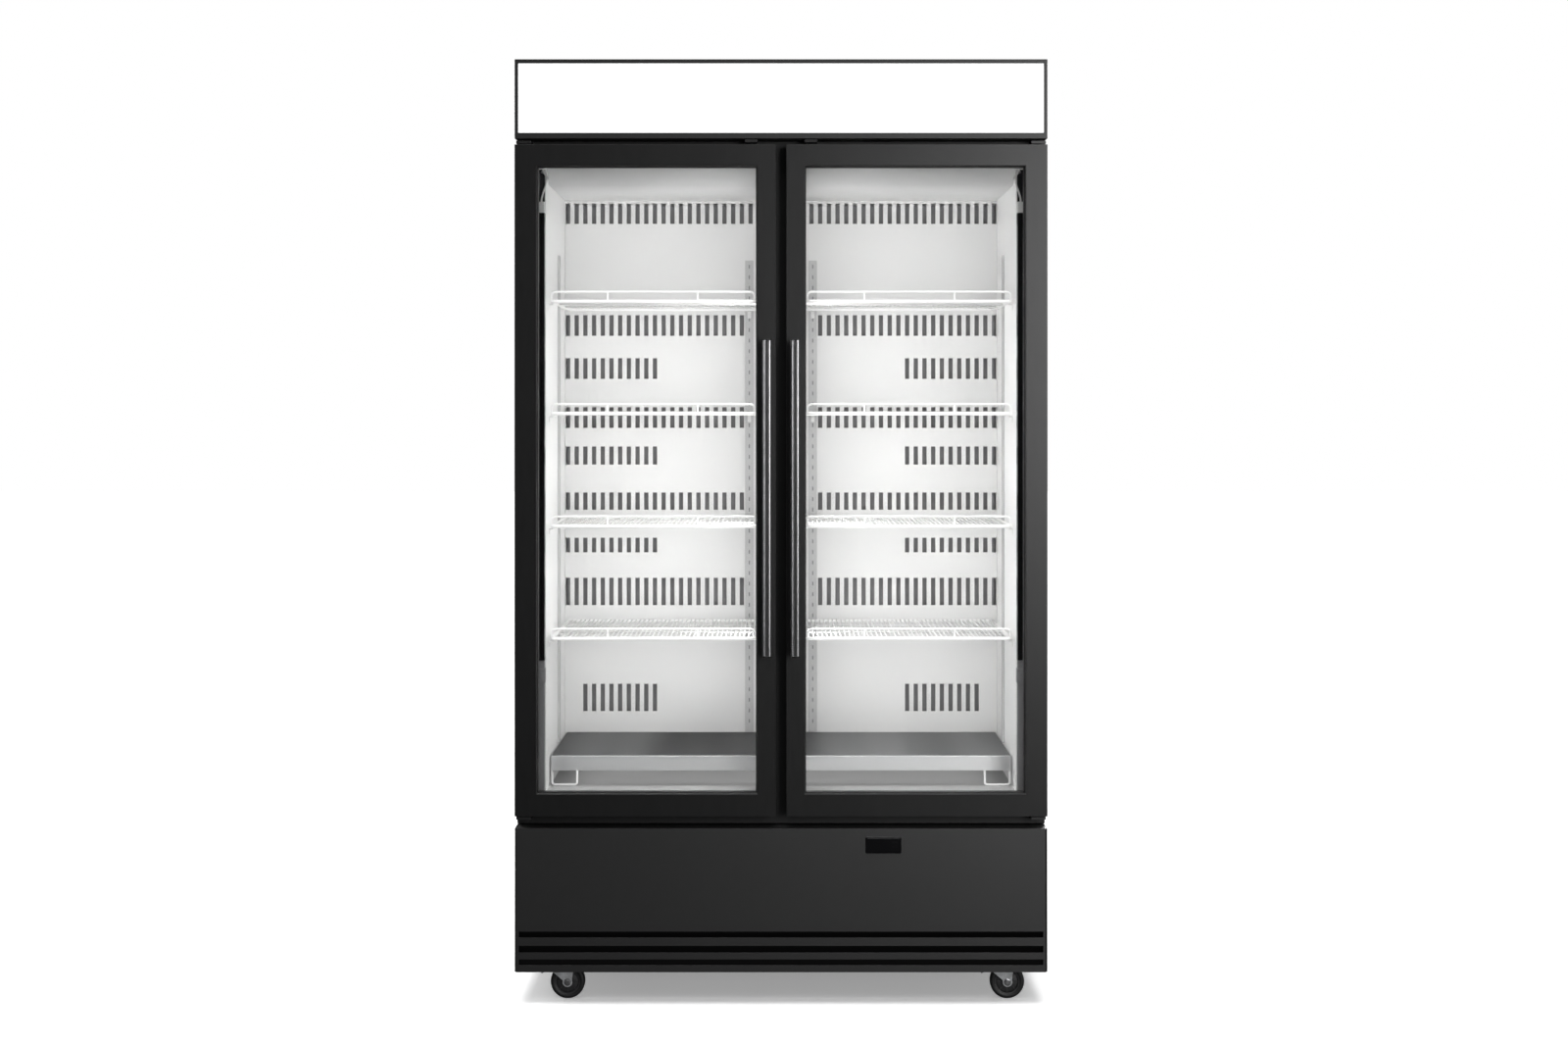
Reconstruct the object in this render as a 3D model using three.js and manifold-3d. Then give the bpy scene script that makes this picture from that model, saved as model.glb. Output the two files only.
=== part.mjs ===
// Upright two-door glass merchandiser refrigerator on four swivel castors.
// Units are millimetres. +Z is up and the doors face -Y. Inside the cabinet group,
// y is the depth behind the front face of the doors.

import * as THREE from 'three';
import { mergeVertices } from 'three/addons/utils/BufferGeometryUtils.js';
import Module from 'manifold-3d';

const wasm = await Module();
wasm.setup();

// ---------- driving dimensions ----------

const GAP = 0.3;

const WIDTH = 1140;
const HALF = WIDTH / 2;
const HEIGHT = 2027;
const CASE_DEPTH = 660;
const HANDLE_PROJECTION = 45;
const BODY_BOTTOM = 75;

const WALL = 56;
const PANEL_FRONT = 88.3;
const CABINET_BOTTOM = 384;
const ROOF_TOP = 1857;
const CEILING = 1773;
const FLOOR = 446;
const LINER = 2;
const REAR_WALL = 50;
const SKIRT = 3;

const DOOR_BOTTOM = 408;
const DOOR_TOP = 1845;
const DOOR_INNER = 11.5;
const DOOR_THICKNESS = 40;
const OPENING_INNER = 50;
const OPENING_OUTER = 524;
const OPENING_BOTTOM = 455;
const OPENING_TOP = 1800;
const HINGE_X = 550;
const HINGE_DEPTH = 25;
const HINGE_PIN_RADIUS = 4;

const HANDLE_X = 30;
const HANDLE_BOTTOM = 753;
const HANDLE_TOP = 1427;
const HANDLE_WIDTH = 19;
const HANDLE_DEPTH = 14;

const DUCT_DEPTH = 539;
const DUCT_SHEET = 2;

const SHELF_LEVELS = [781, 1026, 1271, 1516];
const SHELF_FRONT = 96;
const SHELF_REAR = 525;
const SHELF_INNER = 8;
const SHELF_OUTER = 504;
const SHELF_WIRE = 5;
const SHELF_BARS = 8;
const LIP_HEIGHT = 21;
const LIP_INNER = 58;
const LIP_OUTER = 498;
const LIP_UPRIGHTS = [0, 0.27, 0.73, 1];

const DECK_TOP = 514;
const DECK_FRONT = 160;
const DECK_FACE = 32.5;
const DECK_HALF = 507;
const DECK_SHEET = 2;

const FASCIA_TOP = 382;
const FASCIA_SHEET = 3;
const HEADER_BOTTOM = 1857.6;
const HEADER_DEPTH = 130;
const HEADER_BORDER = 7.3;
const HEADER_LIP = 12.4;

const CASTOR_X = 477;
const CASTOR_DEPTHS = { front: 85, rear: 575 };
const WHEEL_RADIUS = 37.5;
const WHEEL_WIDTH = 24;
const WHEEL_SIDES = 24;
const WHEEL_TRAIL = 14;
const AXLE_HEIGHT = WHEEL_RADIUS * Math.cos(Math.PI / WHEEL_SIDES);
const CASTOR_PLATE_BOTTOM = 96.3;
const PAN_BOTTOM = 100;
const PAN_TOP = 112;

// ---------- materials ----------

function finish(color, roughness, metalness = 0, opacity = 1) {
  return new THREE.MeshStandardMaterial({ color, roughness, metalness, opacity, transparent: opacity < 1 });
}

const blackSteel = finish(0x1b1b1d, 0.45, 0.2);
const charcoalSteel = finish(0x2c2c2e, 0.5, 0.2);
const whiteSteel = finish(0xf1f1f0, 0.4);
const whiteWire = finish(0xf7f7f7, 0.35);
const stainless = finish(0xb9bbbd, 0.32, 1);
const aluminium = finish(0xa9abae, 0.35, 1);
const zinc = finish(0x9a9ca0, 0.4, 1);
const clearGlass = finish(0xe8f2f0, 0.03, 0, 0.25);
const blackRubber = finish(0x101010, 0.85);
const tyreRubber = finish(0x1a1a1c, 0.7);
const blackPlastic = finish(0x0c0c0d, 0.25);
const greyPlastic = finish(0x8b8d90, 0.6);
const diffuser = finish(0xfbfbfb, 0.5);
const lampWhite = finish(0xf4f6f8, 0.4);

// ---------- scene groups ----------

const merchandiser = new THREE.Group();
const cabinet = new THREE.Group();
cabinet.position.y = -(CASE_DEPTH - HANDLE_PROJECTION) / 2;
merchandiser.add(cabinet);

// ---------- shape helpers ----------

// A Manifold solid from any closed three.js geometry.
function solid(geometry) {
  const bare = geometry.index ? geometry.toNonIndexed() : geometry.clone();
  bare.deleteAttribute('normal');
  bare.deleteAttribute('uv');
  const merged = mergeVertices(bare, 1e-4);
  return new wasm.Manifold(new wasm.Mesh({
    numProp: 3,
    vertProperties: new Float32Array(merged.attributes.position.array),
    triVerts: new Uint32Array(merged.index.array),
  }));
}

// A three.js geometry from a Manifold solid.
function geometryOf(manifold) {
  const mesh = manifold.getMesh();
  const geometry = new THREE.BufferGeometry();
  geometry.setAttribute('position', new THREE.BufferAttribute(new Float32Array(mesh.vertProperties), 3));
  geometry.setIndex(new THREE.BufferAttribute(new Uint32Array(mesh.triVerts), 1));
  geometry.computeVertexNormals();
  return geometry;
}

function join(...solids) {
  return solids.reduce((whole, piece) => whole.add(piece));
}

function cut(body, ...tools) {
  return tools.reduce((left, tool) => left.subtract(tool), body);
}

// A box between two corners.
function block(x0, x1, y0, y1, z0, z1) {
  const geometry = new THREE.BoxGeometry(x1 - x0, y1 - y0, z1 - z0);
  geometry.translate((x0 + x1) / 2, (y0 + y1) / 2, (z0 + z1) / 2);
  return solid(geometry);
}

function outline(points) {
  return new THREE.Shape(points.map(([u, v]) => new THREE.Vector2(u, v)));
}

function extrude(shape, depth, curveSegments = 8) {
  return new THREE.ExtrudeGeometry(shape, { depth, bevelEnabled: false, curveSegments });
}

// A plan outline in x and y, raised from z0 to z1.
function upright(shape, z0, z1, curveSegments) {
  return solid(extrude(shape, z1 - z0, curveSegments).translate(0, 0, z0));
}

// A front outline in x and z, pushed back from y0 to y1.
function pushedBack(shape, y0, y1, curveSegments) {
  return solid(extrude(shape, y1 - y0, curveSegments).rotateX(Math.PI / 2).translate(0, y1, 0));
}

// A side outline in y and z, run across from x0 to x1.
function runAcross(shape, x0, x1) {
  const geometry = extrude(shape, x1 - x0);
  geometry.applyMatrix4(new THREE.Matrix4().makeBasis(
    new THREE.Vector3(0, 1, 0),
    new THREE.Vector3(0, 0, 1),
    new THREE.Vector3(1, 0, 0),
  ));
  return solid(geometry.translate(x0, 0, 0));
}

// A rod or disc along 'x', 'y' or 'z', from its start point.
function rod(axis, radius, x, y, z, length, sides = 16) {
  const geometry = new THREE.CylinderGeometry(radius, radius, length, sides);
  geometry.translate(0, length / 2, 0);
  if (axis === 'x') geometry.rotateZ(-Math.PI / 2);
  if (axis === 'z') geometry.rotateX(Math.PI / 2);
  return solid(geometry.translate(x, y, z));
}

// A round wire or lead along a smooth line.
function wire(points, radius, steps, sides) {
  const line = new THREE.CatmullRomCurve3(points.map((p) => new THREE.Vector3(...p)), false, 'catmullrom');
  const section = outline(Array.from({ length: sides }, (_, i) => {
    const angle = (2 * Math.PI * i) / sides;
    return [radius * Math.cos(angle), radius * Math.sin(angle)];
  }));
  return solid(new THREE.ExtrudeGeometry(section, { steps, bevelEnabled: false, extrudePath: line }));
}

// Left and right differ only by a mirror in x: side is -1 on the left and +1 on the right.
const SIDES = { left: -1, right: 1 };

function sided(side, build) {
  const shape = build();
  return side < 0 ? shape.mirror([1, 0, 0]) : shape;
}

function add(name, shape, material, parent = cabinet, place = [0, 0, 0]) {
  const mesh = new THREE.Mesh(geometryOf(shape), material);
  mesh.name = name;
  mesh.position.set(...place);
  parent.add(mesh);
  return mesh;
}

// ---------- insulated cabinet ----------

function sidePanel() {
  const inner = HALF - WALL + GAP;
  return pushedBack(outline([
    [inner, ROOF_TOP],
    [HALF, ROOF_TOP],
    [HALF, BODY_BOTTOM + 1],
    [HALF - SKIRT, BODY_BOTTOM + 1],
    [HALF - SKIRT, CABINET_BOTTOM],
    [inner, CABINET_BOTTOM],
  ]), PANEL_FRONT, CASE_DEPTH);
}

// The ceiling rises to meet the top of the front opening.
const CEILING_RISE_DEPTH = 150;
const CEILING_FRONT = 1804;
const PANEL_FOOT = CABINET_BOTTOM + 2;
const PAST = 5;

function roofPanel() {
  const rear = CASE_DEPTH - REAR_WALL - GAP;
  return runAcross(outline([
    [PANEL_FRONT, CEILING_FRONT + LINER],
    [CEILING_RISE_DEPTH, CEILING + LINER],
    [rear, CEILING + LINER],
    [rear, ROOF_TOP],
    [PANEL_FRONT, ROOF_TOP],
  ]), -HALF + WALL, HALF - WALL);
}

// A thin box open at the front: the same outline twice, the inner one running out past the opening.
function liner() {
  const rear = CASE_DEPTH - REAR_WALL - GAP;
  const shell = (inset) => runAcross(outline([
    [inset ? PANEL_FRONT - PAST : PANEL_FRONT, FLOOR - LINER + GAP + inset],
    [rear - inset, FLOOR - LINER + GAP + inset],
    [rear - inset, CEILING + LINER - GAP - inset],
    [CEILING_RISE_DEPTH, CEILING + LINER - GAP - inset],
    [PANEL_FRONT, CEILING_FRONT + LINER - GAP - inset],
    ...(inset ? [[PANEL_FRONT - PAST, CEILING_FRONT + LINER - GAP - inset]] : []),
  ]), -HALF + WALL + inset, HALF - WALL - inset);
  return cut(shell(0), shell(LINER));
}

const FRAME = { front: 52, rear: PANEL_FRONT - GAP, mullion: 30, jamb: 530, top: 1806 };

function frontFrame() {
  const ring = block(-HALF, HALF, FRAME.front, FRAME.rear, CABINET_BOTTOM, ROOF_TOP);
  const opening = (side) => sided(side, () => (
    block(FRAME.mullion, FRAME.jamb, FRAME.front - 1, FRAME.rear + 1, FLOOR, FRAME.top)
  ));
  return cut(ring, opening(-1), opening(1));
}

for (const [word, side] of Object.entries(SIDES)) {
  add(`side_panel_${word}`, sided(side, sidePanel), blackSteel);
}
add('roof_panel', roofPanel(), whiteSteel);
add('floor_panel', block(-HALF + WALL, HALF - WALL, PANEL_FRONT, CASE_DEPTH - REAR_WALL - GAP,
  PANEL_FOOT, FLOOR - LINER), whiteSteel);
add('rear_panel', block(-HALF + WALL, HALF - WALL, CASE_DEPTH - REAR_WALL, CASE_DEPTH,
  PANEL_FOOT, ROOF_TOP), blackSteel);
add('liner', liner(), whiteSteel);
add('duct_panel', block(-HALF + WALL + LINER + GAP, HALF - WALL - LINER - GAP, DUCT_DEPTH, DUCT_DEPTH + DUCT_SHEET,
  FLOOR + 1, CEILING - 1), whiteSteel);
add('front_frame', frontFrame(), blackSteel);

// ---------- interior lamps ----------

const LAMP = { inner: 512, outer: 529, front: 62, rear: 86, bottom: 735, top: 1704 };
const PLUG_LENGTH = 23;
const LEAD_RADIUS = 2;

function ledBar() {
  const { inner, outer, front, rear, bottom, top } = LAMP;
  const housing = block(inner, outer, front, rear, bottom, top);
  const connector = block(inner + 2, outer - 2, front + 3, rear - 3, top - 1, top + PLUG_LENGTH);
  return join(housing, connector);
}

// The lead leaves the connector, bows towards the wall and enters the ceiling corner.
const LEAD_ROUTE = [
  [520, 74, 1727.3],
  [519.6, 74, 1736],
  [516, 75, 1750],
  [511.5, 76.5, 1764],
  [510, 78, 1778],
  [511.5, 79, 1790],
  [515, 80, 1797],
  [519, 80.4, 1802.5],
];

for (const [word, side] of Object.entries(SIDES)) {
  add(`led_bar_${word}`, sided(side, ledBar), blackPlastic);
  add(`led_lead_${word}`, sided(side, () => wire(LEAD_ROUTE, LEAD_RADIUS, 14, 6)), greyPlastic);
}

// ---------- shelf posts, shelves and deck ----------

const POST_BOTTOM = 516;
const POST_TOP = 1630;
const POST_WIDTH = 20;
const POST_DEPTH = 5;
const SIDE_POST_FRONT = 355;
const REAR_POST_INNER = 65;

function sidePost() {
  const wallFace = HALF - WALL - LINER - GAP;
  return block(wallFace - POST_DEPTH, wallFace, SIDE_POST_FRONT, SIDE_POST_FRONT + POST_WIDTH, POST_BOTTOM, POST_TOP);
}

function rearPost() {
  const panelFace = DUCT_DEPTH - GAP;
  return block(REAR_POST_INNER, REAR_POST_INNER + POST_WIDTH, panelFace - POST_DEPTH, panelFace, POST_BOTTOM, POST_TOP);
}

// A wire shelf: a rim, bars from front to back and a raised front lip, with its top surface at z = 0.
function shelf() {
  const half = SHELF_WIRE / 2;
  const rim = cut(
    block(SHELF_INNER, SHELF_OUTER, SHELF_FRONT, SHELF_REAR, -SHELF_WIRE, 0),
    block(SHELF_INNER + SHELF_WIRE, SHELF_OUTER - SHELF_WIRE, SHELF_FRONT + SHELF_WIRE, SHELF_REAR - SHELF_WIRE,
      -SHELF_WIRE - 1, 1),
  );
  const pitch = (SHELF_OUTER - SHELF_INNER) / (SHELF_BARS + 1);
  const bars = Array.from({ length: SHELF_BARS }, (_, i) => {
    const x = SHELF_INNER + pitch * (i + 1);
    return block(x - half, x + half, SHELF_FRONT + 1, SHELF_REAR - 1, -SHELF_WIRE + 0.5, -0.5);
  });
  const rail = block(LIP_INNER, LIP_OUTER, SHELF_FRONT, SHELF_FRONT + SHELF_WIRE, LIP_HEIGHT - SHELF_WIRE, LIP_HEIGHT);
  const uprights = LIP_UPRIGHTS.map((share) => {
    const x = LIP_INNER + share * (LIP_OUTER - LIP_INNER - SHELF_WIRE);
    return block(x, x + SHELF_WIRE, SHELF_FRONT, SHELF_FRONT + SHELF_WIRE, -1, LIP_HEIGHT - 1);
  });
  return join(rim, ...bars, rail, ...uprights);
}

// A folded stainless tray with its front face turned down.
function baseDeck() {
  const rear = DUCT_DEPTH - 1;
  return runAcross(outline([
    [DECK_FRONT, DECK_TOP - DECK_FACE],
    [DECK_FRONT + DECK_SHEET, DECK_TOP - DECK_FACE],
    [DECK_FRONT + DECK_SHEET, DECK_TOP - DECK_SHEET],
    [rear, DECK_TOP - DECK_SHEET],
    [rear, DECK_TOP],
    [DECK_FRONT, DECK_TOP],
  ]), -DECK_HALF, DECK_HALF);
}

const STAND = { wire: 5, inner: 448, outer: 508, front: DECK_FRONT + 8, rear: 420 };

// A bent wire stand under the deck: a U at each front corner, joined by a rail along the back.
function deckStand() {
  const { wire: thick, inner, outer, front, rear } = STAND;
  const bottom = FLOOR + GAP;
  const top = DECK_TOP - DECK_FACE - GAP;
  const foot = (side) => sided(side, () => join(
    block(inner, outer, front, front + thick, bottom, bottom + thick),
    block(inner, inner + thick, front, front + thick, bottom, top),
    block(outer - thick, outer, front, front + thick, bottom, top),
    block(inner, inner + thick, front, rear, top - thick, top),
  ));
  const rail = block(-inner - thick, inner + thick, rear - 1, rear + thick - 1, top - thick, top);
  return join(foot(-1), foot(1), rail);
}

for (const [word, side] of Object.entries(SIDES)) {
  add(`side_post_${word}`, sided(side, sidePost), whiteSteel);
  add(`rear_post_${word}`, sided(side, rearPost), whiteSteel);
  SHELF_LEVELS.forEach((level, i) => {
    add(`shelf_${word}_${i + 1}`, sided(side, shelf), whiteWire, cabinet, [0, 0, level]);
  });
}
add('base_deck', baseDeck(), stainless);
add('deck_stand', deckStand(), whiteWire);

// ---------- lit header ----------

const HEADER_SHEET = 3;
const HEADER_FACE = 8;
const WINDOW = { half: HALF - HEADER_BORDER, bottom: HEADER_BOTTOM + HEADER_LIP, top: HEIGHT - HEADER_BORDER - 1 };
const PANEL = { front: 2, rear: 6 };
const TUBE = { radius: 13, half: 520, depth: 70, z: 1945 };

function headerCase() {
  const box = block(-HALF, HALF, 0, HEADER_DEPTH, HEADER_BOTTOM, HEIGHT);
  const hollow = block(-HALF + HEADER_SHEET, HALF - HEADER_SHEET, HEADER_FACE, HEADER_DEPTH - HEADER_SHEET,
    HEADER_BOTTOM + HEADER_SHEET, HEIGHT - HEADER_SHEET);
  const window = block(-WINDOW.half, WINDOW.half, -1, HEADER_FACE + 1, WINDOW.bottom, WINDOW.top);
  return cut(box, hollow, window);
}

add('header_case', headerCase(), blackSteel);
add('header_panel', block(-WINDOW.half + GAP, WINDOW.half - GAP, PANEL.front, PANEL.rear,
  WINDOW.bottom + GAP, WINDOW.top - GAP), diffuser);
add('header_lamp', rod('x', TUBE.radius, -TUBE.half, TUBE.depth, TUBE.z, 2 * TUBE.half, 12), lampWhite);

// ---------- lower fascia and controller ----------

const SLOTS = [[149, 162], [117, 131.5], [90, 102.5]];
const SLOT_HALF = HALF - 9;
const CONTROLLER = { x: 219, z: 347, width: 76, height: 35, bezel: 2.5, depth: 55, flange: 2 };

// The controller's outline in x and z, drawn in by inset on every edge.
function controllerBlock(inset, y0, y1) {
  const halfWidth = CONTROLLER.width / 2 - inset;
  const halfHeight = CONTROLLER.height / 2 - inset;
  return block(CONTROLLER.x - halfWidth, CONTROLLER.x + halfWidth, y0, y1,
    CONTROLLER.z - halfHeight, CONTROLLER.z + halfHeight);
}

// A sheet bent back at both ends, with its front corners eased and a flange along the top.
function lowerFascia() {
  const corner = 5;
  const inside = HALF - FASCIA_SHEET;
  const plan = outline([
    [-HALF, corner],
    [-HALF + corner, 0],
    [HALF - corner, 0],
    [HALF, corner],
    [HALF, PANEL_FRONT - GAP],
    [inside, PANEL_FRONT - GAP],
    [inside, corner + 2],
    [HALF - corner - 1, FASCIA_SHEET],
    [-HALF + corner + 1, FASCIA_SHEET],
    [-inside, corner + 2],
    [-inside, PANEL_FRONT - GAP],
    [-HALF, PANEL_FRONT - GAP],
  ]);
  const slots = SLOTS.map(([low, high]) => block(-SLOT_HALF, SLOT_HALF, -1, FASCIA_SHEET + 1, low, high));
  const window = controllerBlock(CONTROLLER.flange, -1, FASCIA_SHEET + 1);
  const topFlange = block(-inside - 1, inside + 1, 1, PANEL_FRONT - GAP, FASCIA_TOP - FASCIA_SHEET, FASCIA_TOP);
  return cut(join(upright(plan, BODY_BOTTOM, FASCIA_TOP), topFlange), ...slots, window);
}

function controller() {
  const bezel = controllerBlock(0, -CONTROLLER.bezel - GAP, -GAP);
  const body = controllerBlock(CONTROLLER.flange + 0.5, -1, CONTROLLER.depth);
  return join(bezel, body);
}

add('lower_fascia', lowerFascia(), charcoalSteel);
add('controller', controller(), blackPlastic);

// ---------- base frame and refrigeration unit ----------

function castorPlaces() {
  return Object.values(SIDES).flatMap((side) => Object.values(CASTOR_DEPTHS).map((depth) => [side * CASTOR_X, depth]));
}

const KINGPIN_RADIUS = 5;
const KINGPIN_BORE = 6;
const PLATE_HALF = 42;
const PAN = { half: HALF - SKIRT - 0.6, front: 30, rear: CASE_DEPTH - 4, sheet: 3, rim: 24 };

function baseFrame() {
  const { half, front, rear, sheet, rim } = PAN;
  const tray = cut(
    block(-half, half, front, rear, PAN_BOTTOM, PAN_TOP + rim),
    block(-half + sheet, half - sheet, front + sheet, rear - sheet, PAN_TOP, PAN_TOP + rim + 1),
  );
  const plates = castorPlaces().map(([x, y]) => (
    block(x - PLATE_HALF, x + PLATE_HALF, y - PLATE_HALF, y + PLATE_HALF, CASTOR_PLATE_BOTTOM, PAN_BOTTOM + 1)
  ));
  const bores = castorPlaces().map(([x, y]) => rod('z', KINGPIN_BORE, x, y, CASTOR_PLATE_BOTTOM - 1, 30));
  return cut(join(tray, ...plates), ...bores);
}

const FAN = { x: -170, z: 222, hub: 24, tip: 84, front: 138, rear: 158 };
const SHAFT_RADIUS = 4;

const COIL = { left: -320, right: -20, front: 62, rear: 118, bottom: 118, top: 322 };
const GROOVE = { count: 5, first: 145, pitch: 34, height: 6, depth: 4 };
const COIL_HEADER = { radius: 8, depth: 90, bottom: 130, length: 180 };

function condenserCoil() {
  const { left, right, front, rear, bottom, top } = COIL;
  const fins = block(left, right, front, rear, bottom, top);
  const grooves = Array.from({ length: GROOVE.count }, (_, i) => {
    const z = GROOVE.first + i * GROOVE.pitch;
    return block(left - 1, right + 1, front - 1, front + GROOVE.depth, z, z + GROOVE.height);
  });
  const { radius, depth, bottom: foot, length } = COIL_HEADER;
  return join(cut(fins, ...grooves), rod('z', radius, right, depth, foot, length, 10));
}

const SHROUD = { front: 122, rear: 168, sheet: 4, top: 328, clearance: 6, ring: 4 };
const MOTOR = { radius: 34, front: 166, length: 44, arms: 3, armWidth: 12, armDepth: 8 };

// A plate behind the coil with a ring round the blades, and the motor held behind them on three arms.
function fanShroud() {
  const { x, z, tip } = FAN;
  const { front, rear, sheet, top, clearance, ring: ringWall } = SHROUD;
  const plate = block(COIL.left - 2, COIL.right + 2, front, front + sheet, PAN_TOP + GAP, top);
  const hole = rod('y', tip + clearance, x, front - 2, z, rear - front + 4, 24);
  const ring = rod('y', tip + clearance + ringWall, x, front + 3, z, rear - front - 3, 24);
  const motor = rod('y', MOTOR.radius, x, MOTOR.front, z, MOTOR.length, 16);
  const arms = Array.from({ length: MOTOR.arms }, (_, i) => {
    const half = MOTOR.armWidth / 2;
    const arm = block(0, tip + clearance + 2, rear - MOTOR.armDepth, rear, -half, half);
    return arm.rotate([0, i * (360 / MOTOR.arms) + 90, 0]).translate([x, 0, z]);
  });
  const shaft = rod('y', SHAFT_RADIUS, x, FAN.front + 5, z, MOTOR.front + 2 - FAN.front - 5, 12);
  return join(cut(join(plate, ring), hole), motor, shaft, ...arms);
}

const BLADES = 5;
const BLADE_SHEET = 3;
const BLADE_PITCH = 0.35;

function fanBlade() {
  const { x, z, hub, tip, front, rear } = FAN;
  const blades = Array.from({ length: BLADES }, (_, i) => {
    const shape = new THREE.Shape();
    shape.moveTo(hub - 4, -14);
    shape.lineTo(tip - 6, -30);
    shape.quadraticCurveTo(tip + 1, -6, tip - 8, 24);
    shape.lineTo(hub - 4, 10);
    shape.closePath();
    const blade = extrude(shape, BLADE_SHEET, 3).rotateX(Math.PI / 2).translate(0, BLADE_SHEET / 2, 0);
    blade.rotateX(BLADE_PITCH).rotateY((2 * Math.PI * i) / BLADES);
    return solid(blade.translate(x, (front + rear) / 2, z));
  });
  const boss = rod('y', hub, x, front, z, rear - front, 16);
  return cut(join(boss, ...blades), rod('y', SHAFT_RADIUS + 0.5, x, front + 3, z, 30, 12));
}

const COMPRESSOR = { x: 200, y: 440, footDepth: 160, footWidth: 220, footHeight: 12, lift: 8 };
const SHELL_PROFILE = [
  [0, 0],
  [78, 0],
  [84, 14],
  [84, 96],
  [80, 100],
  [80, 108],
  [74, 142],
  [52, 172],
  [24, 184],
  [0, 186],
];

// A hermetic compressor shell on its foot plate.
function compressor() {
  const { x, y, footDepth, footWidth, footHeight, lift } = COMPRESSOR;
  const profile = SHELL_PROFILE.map(([r, h]) => new THREE.Vector2(r, h));
  const shell = solid(new THREE.LatheGeometry(profile, 20).rotateX(Math.PI / 2));
  const foot = block(-footWidth / 2, footWidth / 2, -footDepth / 2, footDepth / 2, -lift, footHeight - lift);
  return join(shell, foot).translate([x, y, PAN_TOP + GAP + lift]);
}

const INLET = { x: 430, z: 180, halfWidth: 13, halfHeight: 9, depth: 16, wall: 4 };
const COVER_SHEET = 3;

// The back sheet of the machine compartment, with the mains inlet's socket sunk into it.
function rearCover() {
  const { x, z, halfWidth, halfHeight, depth, wall } = INLET;
  const around = (margin, y0, y1) => block(x - halfWidth - margin, x + halfWidth + margin, y0, y1,
    z - halfHeight - margin, z + halfHeight + margin);
  const sheet = block(-PAN.half, PAN.half, CASE_DEPTH - COVER_SHEET, CASE_DEPTH, PAN_BOTTOM, CABINET_BOTTOM - 1);
  const housing = around(wall, CASE_DEPTH - depth - wall, CASE_DEPTH - 2);
  return cut(join(sheet, housing), around(0, CASE_DEPTH - depth, CASE_DEPTH + 1));
}

const EVAPORATOR = { left: -500, right: -40, front: 330, rear: 640, top: 372 };

add('base_frame', baseFrame(), blackSteel);
add('condenser_coil', condenserCoil(), aluminium);
add('condenser_fan_shroud', fanShroud(), blackSteel);
add('condenser_fan_blade', fanBlade(), aluminium);
add('compressor', compressor(), blackSteel);
add('evaporator_case', block(EVAPORATOR.left, EVAPORATOR.right, EVAPORATOR.front, EVAPORATOR.rear,
  PAN_TOP + GAP, EVAPORATOR.top), greyPlastic);
add('rear_cover', rearCover(), blackSteel);

// ---------- doors ----------

const DOOR_CORNER = 15;
const PIN_BORE_DEPTH = 20;

// The hinge side is rounded, so the corner clears the front frame as the door swings.
function doorFrame() {
  const shape = new THREE.Shape();
  const radius = DOOR_CORNER;
  shape.moveTo(DOOR_INNER, 0);
  shape.lineTo(HALF, 0);
  shape.lineTo(HALF, DOOR_THICKNESS - radius);
  shape.absarc(HALF - radius, DOOR_THICKNESS - radius, radius, 0, Math.PI / 2, false);
  shape.lineTo(DOOR_INNER, DOOR_THICKNESS);
  shape.closePath();
  const slab = upright(shape, DOOR_BOTTOM, DOOR_TOP, 4);
  const opening = block(OPENING_INNER, OPENING_OUTER, -1, DOOR_THICKNESS + 1, OPENING_BOTTOM, OPENING_TOP);
  const bore = (z) => rod('z', HINGE_PIN_RADIUS + 0.5, HINGE_X, HINGE_DEPTH, z, PIN_BORE_DEPTH + 1, 12);
  return cut(slab, opening, bore(DOOR_BOTTOM - 1), bore(DOOR_TOP - PIN_BORE_DEPTH));
}

const GLASS = { front: 8, rear: 32 };

function doorGlass() {
  return block(OPENING_INNER + GAP, OPENING_OUTER - GAP, GLASS.front, GLASS.rear,
    OPENING_BOTTOM + GAP, OPENING_TOP - GAP);
}

const HANDLE_POST_RADIUS = 6;
const HANDLE_POST_INSET = 37;

function doorHandle() {
  const x0 = HANDLE_X - HANDLE_WIDTH / 2;
  const x1 = HANDLE_X + HANDLE_WIDTH / 2;
  const chamfer = 3;
  const front = -HANDLE_PROJECTION;
  const back = front + HANDLE_DEPTH;
  const bar = upright(outline([
    [x0 + chamfer, front],
    [x1 - chamfer, front],
    [x1, front + chamfer],
    [x1, back],
    [x0, back],
    [x0, front + chamfer],
  ]), HANDLE_BOTTOM, HANDLE_TOP);
  const post = (z) => rod('y', HANDLE_POST_RADIUS, HANDLE_X, back - 1, z, -back + 1 - GAP, 12);
  return join(bar, post(HANDLE_BOTTOM + HANDLE_POST_INSET), post(HANDLE_TOP - HANDLE_POST_INSET));
}

const GASKET = { inner: 14, outer: 549, bottom: 425, top: 1828, width: 14, rear: FRAME.front - GAP };

function doorGasket() {
  const { inner, outer, bottom, top, width, rear } = GASKET;
  return cut(
    block(inner, outer, DOOR_THICKNESS + GAP, rear, bottom, top),
    block(inner + width, outer - width, DOOR_THICKNESS - 1, rear + 1, bottom + width, top - width),
  );
}

const HINGE_PLATE = 6;
const HINGE_CLEARANCE = 3;
const PIN_LENGTH = 22;

// A hinge plate bolted to the cabinet between plateLow and its thickness above, with its pin from pinLow.
function hinge(plateLow, pinLow) {
  const plate = block(HINGE_X - 14, HALF - 2, HINGE_DEPTH - 14, FRAME.front - GAP, plateLow, plateLow + HINGE_PLATE);
  return join(plate, rod('z', HINGE_PIN_RADIUS, HINGE_X, HINGE_DEPTH, pinLow, PIN_LENGTH, 12));
}

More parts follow.
